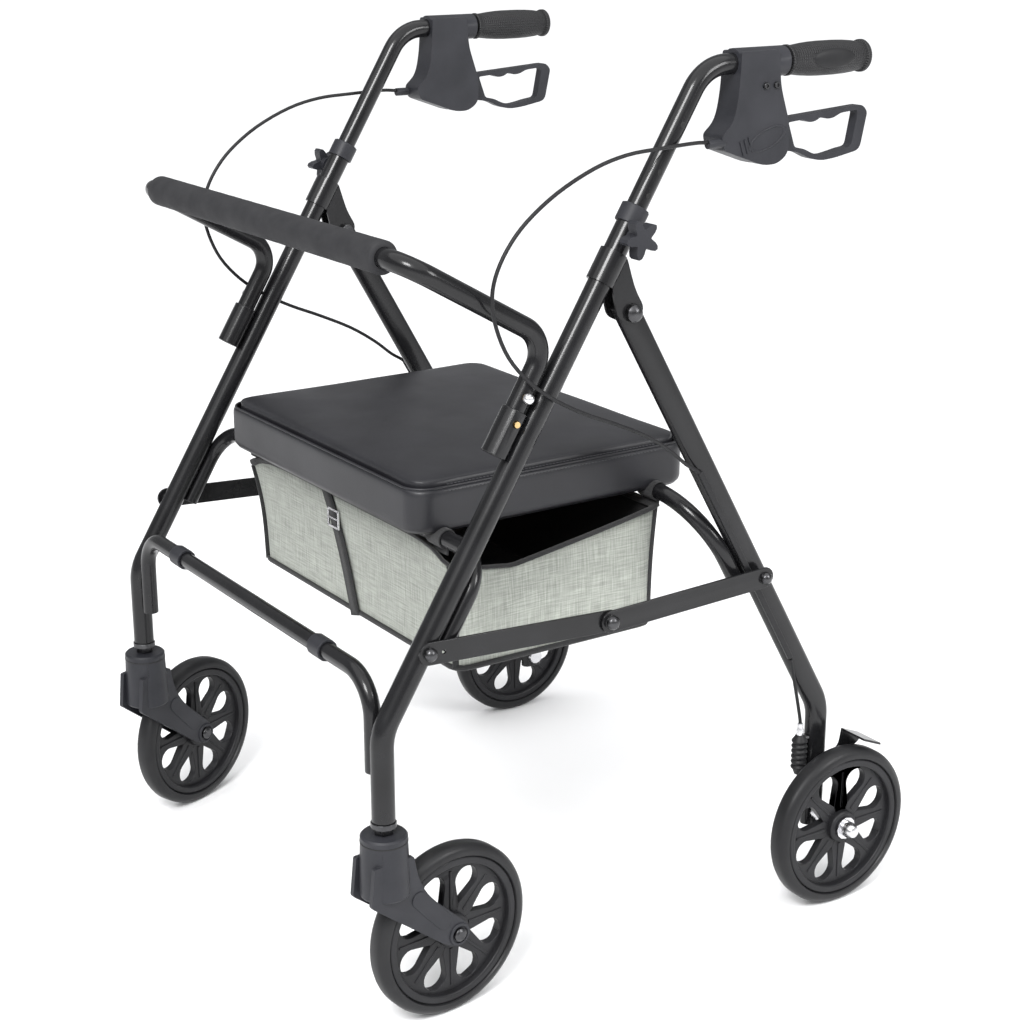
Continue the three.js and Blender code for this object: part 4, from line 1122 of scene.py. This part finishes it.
def bagPoint(share, depth):
    # share runs once round from the middle of the front towards the left, depth from rim to bottom
    b = basket
    halfX = b["halfTop"] + (b["halfBottom"] - b["halfTop"]) * depth
    front = b["frontTop"] + (b["frontBottom"] - b["frontTop"]) * depth
    rear = b["rearTop"] + (b["rearBottom"] - b["rearTop"]) * depth
    corner = b["corner"]
    runs, whole = bagRuns(halfX, rear - front)
    s = (share % 1.0) * whole
    flip = s > whole / 2
    if flip:
        s = whole - s
    if s < runs[0]:
        x, y, side = s, front, 0.0
    elif s < runs[0] + runs[1]:
        a = (s - runs[0]) / corner
        x, y = halfX - corner + corner * math.sin(a), front + corner - corner * math.cos(a)
        side = 0.0
    elif s < sum(runs[:3]):
        t = s - runs[0] - runs[1]
        x, y, side = halfX, front + corner + t, t / runs[2]
    elif s < sum(runs):
        a = (s - sum(runs[:3])) / corner
        x, y = halfX - corner + corner * math.cos(a), rear - corner + corner * math.sin(a)
        side = 0.0
    else:
        x, y, side = halfX - corner - (s - sum(runs)), rear, 0.0
    drop = bagDip(side, x, y < (front + rear) / 2)
    z = b["top"] - drop + (b["bottom"] - b["top"] + drop) * depth
    x = -x if flip else x
    # the cloth hangs a little out of true
    slack = math.sin(math.pi * min(depth, 1.0))
    wave = noise.noise(Vector((x * 6, y * 6, z * 5)))
    if side > 0:
        x -= math.copysign(0.006 * slack * math.sin(math.pi * side) - 0.003 * wave * slack, x)
    else:
        y += (0.004 * slack * math.copysign(1, -y) + 0.003 * wave * slack) * 0.8
    return Vector((x, y, z))


def orderedRing(ring, fresh):
    # the pushed-out ring in the same order as the one it came from
    found = set(fresh)
    return [next(e.other_vert(v) for e in v.link_edges if e.other_vert(v) in found) for v in ring]


def blendBasket(piece):
    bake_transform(piece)


def makeBag():
    count = basket["around"]
    bm = bmesh.new()
    ring = [bm.verts.new(bagPoint(i / count, 0)) for i in range(count)]
    for a, b in zip(ring, ring[1:] + ring[:1]):
        bm.edges.new((a, b))
    for level in range(1, basket["levels"] + 1):
        made = bmesh.ops.extrude_edge_only(bm, edges=edgesAmong(ring))
        ring = orderedRing(ring, newVerts(made))
        for i, v in enumerate(ring):
            v.co = bagPoint(i / count, level / basket["levels"])
    bmesh.ops.edgeloop_fill(bm, edges=edgesAmong(ring))
    cloths = [finishes["basket"], finishes["lining"]]
    bag = makePiece("basket_bag", bm, cloths, None, ["basket"], 80)
    addModifier(bag, "SOLIDIFY", thickness=0.0016, offset=-1.0, material_offset=1)
    blendBasket(bag)
    walls = 0.145 * (4 * basket["halfTop"] + 2 * 0.286)
    return bag, round(walls + 0.46 * 0.27, 3)


def bindEdge(name, run, radius, count, flatten):
    bm = bmesh.new()
    sweepPoints(bm, run, radius, count, flatten)
    piece = makePiece(f"basket_binding_{name}", bm, finishes["binding"], None, angle=80)
    blendBasket(piece)


def makeBinding():
    around = [i / basket["tapeSteps"] for i in range(basket["tapeSteps"] + 1)]
    down = [i / basket["seamSteps"] for i in range(basket["seamSteps"] + 1)]
    bindEdge("rim", [bagPoint(share, 0.0) for share in around], *basket["rimTape"])
    for name, share in cornerShares().items():
        bindEdge(name, [bagPoint(share, depth) for depth in down], *basket["seamTape"])
    bindEdge("base", [bagPoint(share, 1.0) for share in around], *basket["baseTape"])


def cornerShares():
    # where the bag's upright seams stand, as shares of the way round
    runs, whole = bagRuns(basket["halfTop"], basket["rearTop"] - basket["frontTop"])
    front = (runs[0] + runs[1] * 0.5) / whole
    rear = (sum(runs[:3]) + runs[3] * 0.5) / whole
    return {"front_left": front, "front_right": 1 - front, "rear_left": rear, "rear_right": 1 - rear}


bag, cutArea = makeBag()
makeBinding()
print("basket hung")

# webbing loops over the seat tubes, and the front strap with its buckle

strap = {
    "loopX": 0.218,
    "loop": [(0.0097, -0.014), (0.0112, -0.014), (0.0115, 0.0), (0.0112, 0.014), (0.0097, 0.014)],
    "tab": (0.028, 0.0024, 0.010),
    "tabDown": 0.013,
    "x": -0.034,
    "lean": 0.045,
    "top": 0.520,
    "drop": 0.158,
    "width": 0.020,
    "length": 0.165,
    "proud": 0.0022,
    "steps": 18,
    "buckleAt": 5,
    "buckleDeep": 0.0022,
    "buckle": [  # bars: across, up, width, height
        (0, 0.0105, 0.026, 0.0028), (0, -0.0105, 0.026, 0.0028),
        (0.0120, 0, 0.0028, 0.0236), (-0.0120, 0, 0.0028, 0.0236),
        (0, 0, 0.024, 0.0022),
    ],
}


def makeLoops():
    front = onFrontLeg(0, tubes["frontSeat"][2], tubes["frontSeat"][0])
    rear = onRearLeg(0, tubes["rearSeat"][2], tubes["rearSeat"][0])
    for name, axis, body in (("front", front, "front_frame"), ("rear", rear, "rear_frame")):
        for side, sign in sides.items():
            bm = bmesh.new()
            at = Vector((sign * strap["loopX"], axis.y, axis.z))
            lathe(bm, strap["loop"], at, (1, 0, 0), 32, closed=True)
            block(bm, at - Vector((0, 0, strap["tabDown"])), strap["tab"])
            piece = f"basket_loop_{name}_{side}"
            makePiece(piece, bm, finishes["binding"], body, bevel=0.0004)


def flatTape(points, width, facing, thick=0.0016):
    # a flat webbing tape pushed along the points, with its face towards facing
    bm = bmesh.new()
    row = []
    for i, p in enumerate(points):
        ahead = (points[min(i + 1, len(points) - 1)] - points[max(i - 1, 0)]).normalized()
        half = ahead.cross(facing).normalized() * width / 2
        ends = [p - half + facing * thick, p + half + facing * thick]
        if row:
            made = bmesh.ops.extrude_edge_only(bm, edges=edgesAmong(row))
            row = orderedRing(row, newVerts(made))
            row[0].co, row[1].co = ends
        else:
            row = [bm.verts.new(end) for end in ends]
            bm.edges.new(row)
    return bm


def makeStrap():
    points = []
    for i in range(strap["steps"] + 1):
        depth = i / strap["steps"]
        y = bagPoint(0.0, depth).y - strap["proud"]
        points.append(Vector((strap["x"] + strap["lean"] * depth, y, strap["top"] - strap["drop"] * depth)))
    bm = flatTape(points, strap["width"], Vector((0, -1, 0)))
    piece = makePiece("basket_strap", bm, finishes["binding"], None, angle=80)
    addModifier(piece, "SOLIDIFY", thickness=0.0014, offset=0.0)
    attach(piece, "front_frame")
    bm = bmesh.new()
    middle = points[strap["buckleAt"]] + Vector((0, -0.0030, 0))
    for across, up, wide, tall in strap["buckle"]:
        block(bm, middle + Vector((across, 0, up)), (wide, strap["buckleDeep"], tall))
    makePiece("strap_buckle", bm, finishes["steel"], "front_frame", bevel=0.0004)


makeLoops()
makeStrap()
print("straps made")

# brake boots

boot = {
    "x": 0.311,
    "y": 0.238,
    "z": 0.158,
    "folds": 6,
    "foot": [(0.0, 0.0), (0.0050, 0.0), (0.0062, 0.003)],
    "fold": [(0.0072, 0.0), (0.0094, 0.0022), (0.0098, 0.0034), (0.0094, 0.0046)],
    "foldPitch": 0.0068,
    "neck": [(0.0065, 0.0485), (0.0050, 0.0515), (0.0, 0.0520)],
    "ferrule": [
        (0.0, 0.050), (0.0045, 0.050), (0.0045, 0.058), (0.0036, 0.060), (0.0036, 0.066), (0.0, 0.066),
    ],
    "bracket": [  # inwards, y, z and size of the two leaves
        (0.002, 0.2445, 0.2035, (0.010, 0.012, 0.0025)),
        (0.0065, 0.2490, 0.199, (0.0025, 0.012, 0.012)),
    ],
}


def makeBoot(side, sign):
    x = sign * boot["x"]
    foot = (x, boot["y"], boot["z"])
    profile = list(boot["foot"])
    for fold in range(boot["folds"]):
        profile += [(r, h + 0.006 + boot["foldPitch"] * fold) for r, h in boot["fold"]]
    bm = bmesh.new()
    lathe(bm, profile + boot["neck"], foot, (0, 0, 1), 40)
    name = f"brake_bellows_{side}"
    makePiece(name, bm, finishes["rubber"], "rear_frame", [f"brake_boot_{side}"], 50)
    top = Vector((x, boot["y"] - 0.001, boot["z"] + 0.062))
    leaves = onRearLeg(sign * 0.316, 0.090, 0.0105)
    bend = Vector((x, 0.236, 0.234))
    run = smoothRun([leaves, bend, top], leaves * 2 - bend, top + Vector((0, 0.001, -0.02)), 8)
    bm = bmesh.new()
    sweepPoints(bm, run, cable["radius"], 12)
    makePiece(f"brake_tail_{side}", bm, finishes["rubber"], "rear_frame")
    bm = bmesh.new()
    lathe(bm, boot["ferrule"], foot, (0, 0, 1), 24)
    for inwards, y, z, size in boot["bracket"]:
        block(bm, (x - sign * inwards, y, z), size)
    makePiece(f"brake_ferrule_{side}", bm, finishes["steel"], "rear_frame", bevel=0.0004)


for side, sign in sides.items():
    makeBoot(side, sign)
print("brake boots made")

# bright rivet and bolt heads, housing screws and trim

heads = {
    "rivets": {  # x, y, z and radius
        "front_link_{}": [(0.3270, -0.2903, 0.4368, 0.0072)],
        "rear_link_{}": [(0.3305, 0.1579, 0.4310, 0.0072), (0.3315, -0.0610, 0.4241, 0.0078)],
    },
    "screwX": 0.322,
    "screws": ((0.1339, 0.9853), (0.1485, 0.9855)),
    "screw": [
        (0.0, 0.0012), (0.0018, 0.0012), (0.0020, 0.0026), (0.0032, 0.0026),
        (0.0036, 0.0020), (0.0036, -0.001), (0.0, -0.001),
    ],
    "domeX": 0.3180,
    "dome": [
        (0.0, 0.0074), (0.0022, 0.0070), (0.0042, 0.0058), (0.0056, 0.0036),
        (0.0061, 0.0010), (0.0058, -0.0008), (0.0, -0.0010),
    ],
    "oval": [(0.0145, 0.0), (0.0160, 0.0009), (0.0175, 0.0)],
    "ovalShape": (1, 1.55, 0.62),
    "trimPlace": (0.3222, 0.139, 0.930),
    "trimTurn": 20,
    "ribs": (-0.036, -0.030, -0.024),
    "rib": (0.0012, 0.0018, 0.016),
}


def makeHeads(side, sign):
    out = (sign, 0, 0)
    for body, places in heads["rivets"].items():
        name = body.format(side)
        bm = bmesh.new()
        for x, y, z, r in places:
            rivet = [(0.0, 0.0042), (r * 0.45, 0.0036), (r * 0.8, 0.0020), (r, 0.0), (r, -0.0035)]
            lathe(bm, [*rivet, (0.0, -0.0035)], (sign * x, y, z), out, 32)
        makePiece(f"{name}_rivets", bm, finishes["darkSteel"], name, angle=50)
    bm = bmesh.new()
    for y, z in heads["screws"]:
        lathe(bm, heads["screw"], (sign * heads["screwX"], y, z), out, 24)
    makePiece(f"housing_screws_{side}", bm, finishes["darkSteel"], f"handle_{side}")
    place = onFrontLeg(sign * heads["domeX"], 0.375, -0.027)
    bm = bmesh.new()
    lathe(bm, heads["dome"], place, out, 40)
    button = f"snap_button_{side}"
    makePiece(f"release_dome_{side}", bm, finishes["steel"], button, angle=60)
    bm = bmesh.new()
    lathe(bm, heads["oval"], (0, 0, 0), out, 56)
    bmesh.ops.scale(bm, vec=heads["ovalShape"], verts=bm.verts)
    for y in heads["ribs"]:
        block(bm, (sign * 0.0004, y, 0.004), heads["rib"])
    x, y, z = heads["trimPlace"]
    turn = Matrix.Rotation(math.radians(heads["trimTurn"]), 4, "X")
    bmesh.ops.transform(bm, matrix=Matrix.Translation((sign * x, y, z)) @ turn, verts=bm.verts)
    handle = f"handle_{side}"
    makePiece(f"housing_trim_{side}", bm, finishes["plastic"], handle, bevel=0.0002)


for side, sign in sides.items():
    makeHeads(side, sign)
print("heads and trim made")

# raised panels, axle bosses and the cap groove of the caster forks

fork = {
    "face": 0.0203,
    "trail": 0.083,
    "axleZ": 0.100,
    "panel": ((0.030, 0.160), (0.062, 0.1235)),
    "panelHalf": 0.0095,
    "panelProud": 0.0010,
    "boss": [(0.0100, -0.0005), (0.0132, -0.0005), (0.0132, 0.0012), (0.0124, 0.0020), (0.0100, 0.0020)],
    "groove": [(0.0250, 0.2325), (0.02585, 0.2328), (0.02585, 0.2336), (0.0250, 0.2339)],
}


def capsule(start, end, half, steps=10):
    # outline of a long oval between two places, in (behind, up)
    heading = math.atan2(end[1] - start[1], end[0] - start[0])
    spots = []
    for (a, b), turn in ((end, -90), (start, 90)):
        for i in range(steps + 1):
            angle = heading + math.radians(turn + 180 * i / steps)
            spots.append((a + half * math.cos(angle), b + half * math.sin(angle)))
    return spots


def makeForkTrim(side, sign):
    low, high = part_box(f"caster_wheel_{side}")
    hub = (low + high) / 2
    stem = Vector((sign * legs["x"], legs["frontY"], 0))
    back = Vector((hub.x - stem.x, hub.y - stem.y, 0)).normalized()
    aside = Vector((back.y, -back.x, 0)).normalized()
    body = f"caster_{side}"
    bm = bmesh.new()
    for out in (aside, -aside):
        face = stem + out * fork["face"]
        oval = capsule(*fork["panel"], fork["panelHalf"])
        plate(bm, [face + back * a + Vector((0, 0, b)) for a, b in oval], out * fork["panelProud"])
        hubFace = face + back * fork["trail"] + Vector((0, 0, fork["axleZ"]))
        lathe(bm, fork["boss"], hubFace, out, 40, closed=True)
    makePiece(f"fork_panels_{side}", bm, finishes["plastic"], body, bevel=0.0004)
    bm = bmesh.new()
    # the groove is a flush ring painted near-black: painted shade
    lathe(bm, fork["groove"], stem, (0, 0, 1), 56, closed=True)
    makePiece(f"fork_groove_{side}", bm, finishes["hole"], body)


for side, sign in sides.items():
    makeForkTrim(side, sign)
print("fork trim made")

# studio

studio = {
    "world": (0.97, 0.98, 1.0),
    "worldStrength": 0.42,
    "backdropStrength": 1.05,
    "floor": (0.90, 0.90, 0.905),
    "lamps": [
        {"name": "keyLamp", "place": (2.2, -2.6, 3.4), "size": 1.3, "power": 170},
        {"name": "fillLamp", "place": (3.2, 1.6, 2.2), "size": 1.2, "power": 60},
    ],
    "aim": (0, 0, 0.45),
    "sky": {"strength": 2.7, "spread": 100, "turn": (12, 14, 0)},
}


def makeStudio():
    world = bpy.data.worlds.new("studio")
    world.use_nodes = True
    background = world.node_tree.nodes["Background"]
    background.inputs["Color"].default_value = (*studio["world"], 1)
    path = world.node_tree.nodes.new("ShaderNodeLightPath")
    glow = world.node_tree.nodes.new("ShaderNodeMapRange")
    glow.inputs["To Min"].default_value = studio["worldStrength"]
    glow.inputs["To Max"].default_value = studio["backdropStrength"]
    world.node_tree.links.new(path.outputs["Is Camera Ray"], glow.inputs["Value"])
    world.node_tree.links.new(glow.outputs["Result"], background.inputs["Strength"])
    bpy.context.scene.world = world
    bm = bmesh.new()
    bmesh.ops.create_grid(bm, x_segments=1, y_segments=1, size=30)
    mesh = bpy.data.meshes.new("floor")
    bm.to_mesh(mesh)
    bm.free()
    material, tree, shader = newMaterial("paleFloor", Roughness=0.85)
    marks = placeGroup(tree, "handling", Scale=2.0, Low=0.8, High=0.9)
    tree.links.new(marks.outputs["Value"], shader.inputs["Roughness"])
    shader.inputs["Base Color"].default_value = (*studio["floor"], 1)
    mesh.materials.append(material)
    ground = bpy.data.objects.new("floor", mesh)
    bpy.context.collection.objects.link(ground)
    target = Vector(studio["aim"])
    for lamp in studio["lamps"]:
        data = bpy.data.lights.new(lamp["name"], "AREA")
        data.size = lamp["size"]
        data.energy = lamp["power"]
        holder = bpy.data.objects.new(lamp["name"], data)
        holder.location = lamp["place"]
        holder.rotation_euler = (target - holder.location).to_track_quat("-Z", "Y").to_euler()
        bpy.context.collection.objects.link(holder)
    sky = bpy.data.lights.new("skyLamp", "SUN")  # lights the whole floor evenly
    sky.energy = studio["sky"]["strength"]
    sky.angle = math.radians(studio["sky"]["spread"])
    holder = bpy.data.objects.new("skyLamp", sky)
    holder.rotation_euler = [math.radians(a) for a in studio["sky"]["turn"]]
    bpy.context.collection.objects.link(holder)


makeStudio()
print("studio lit")
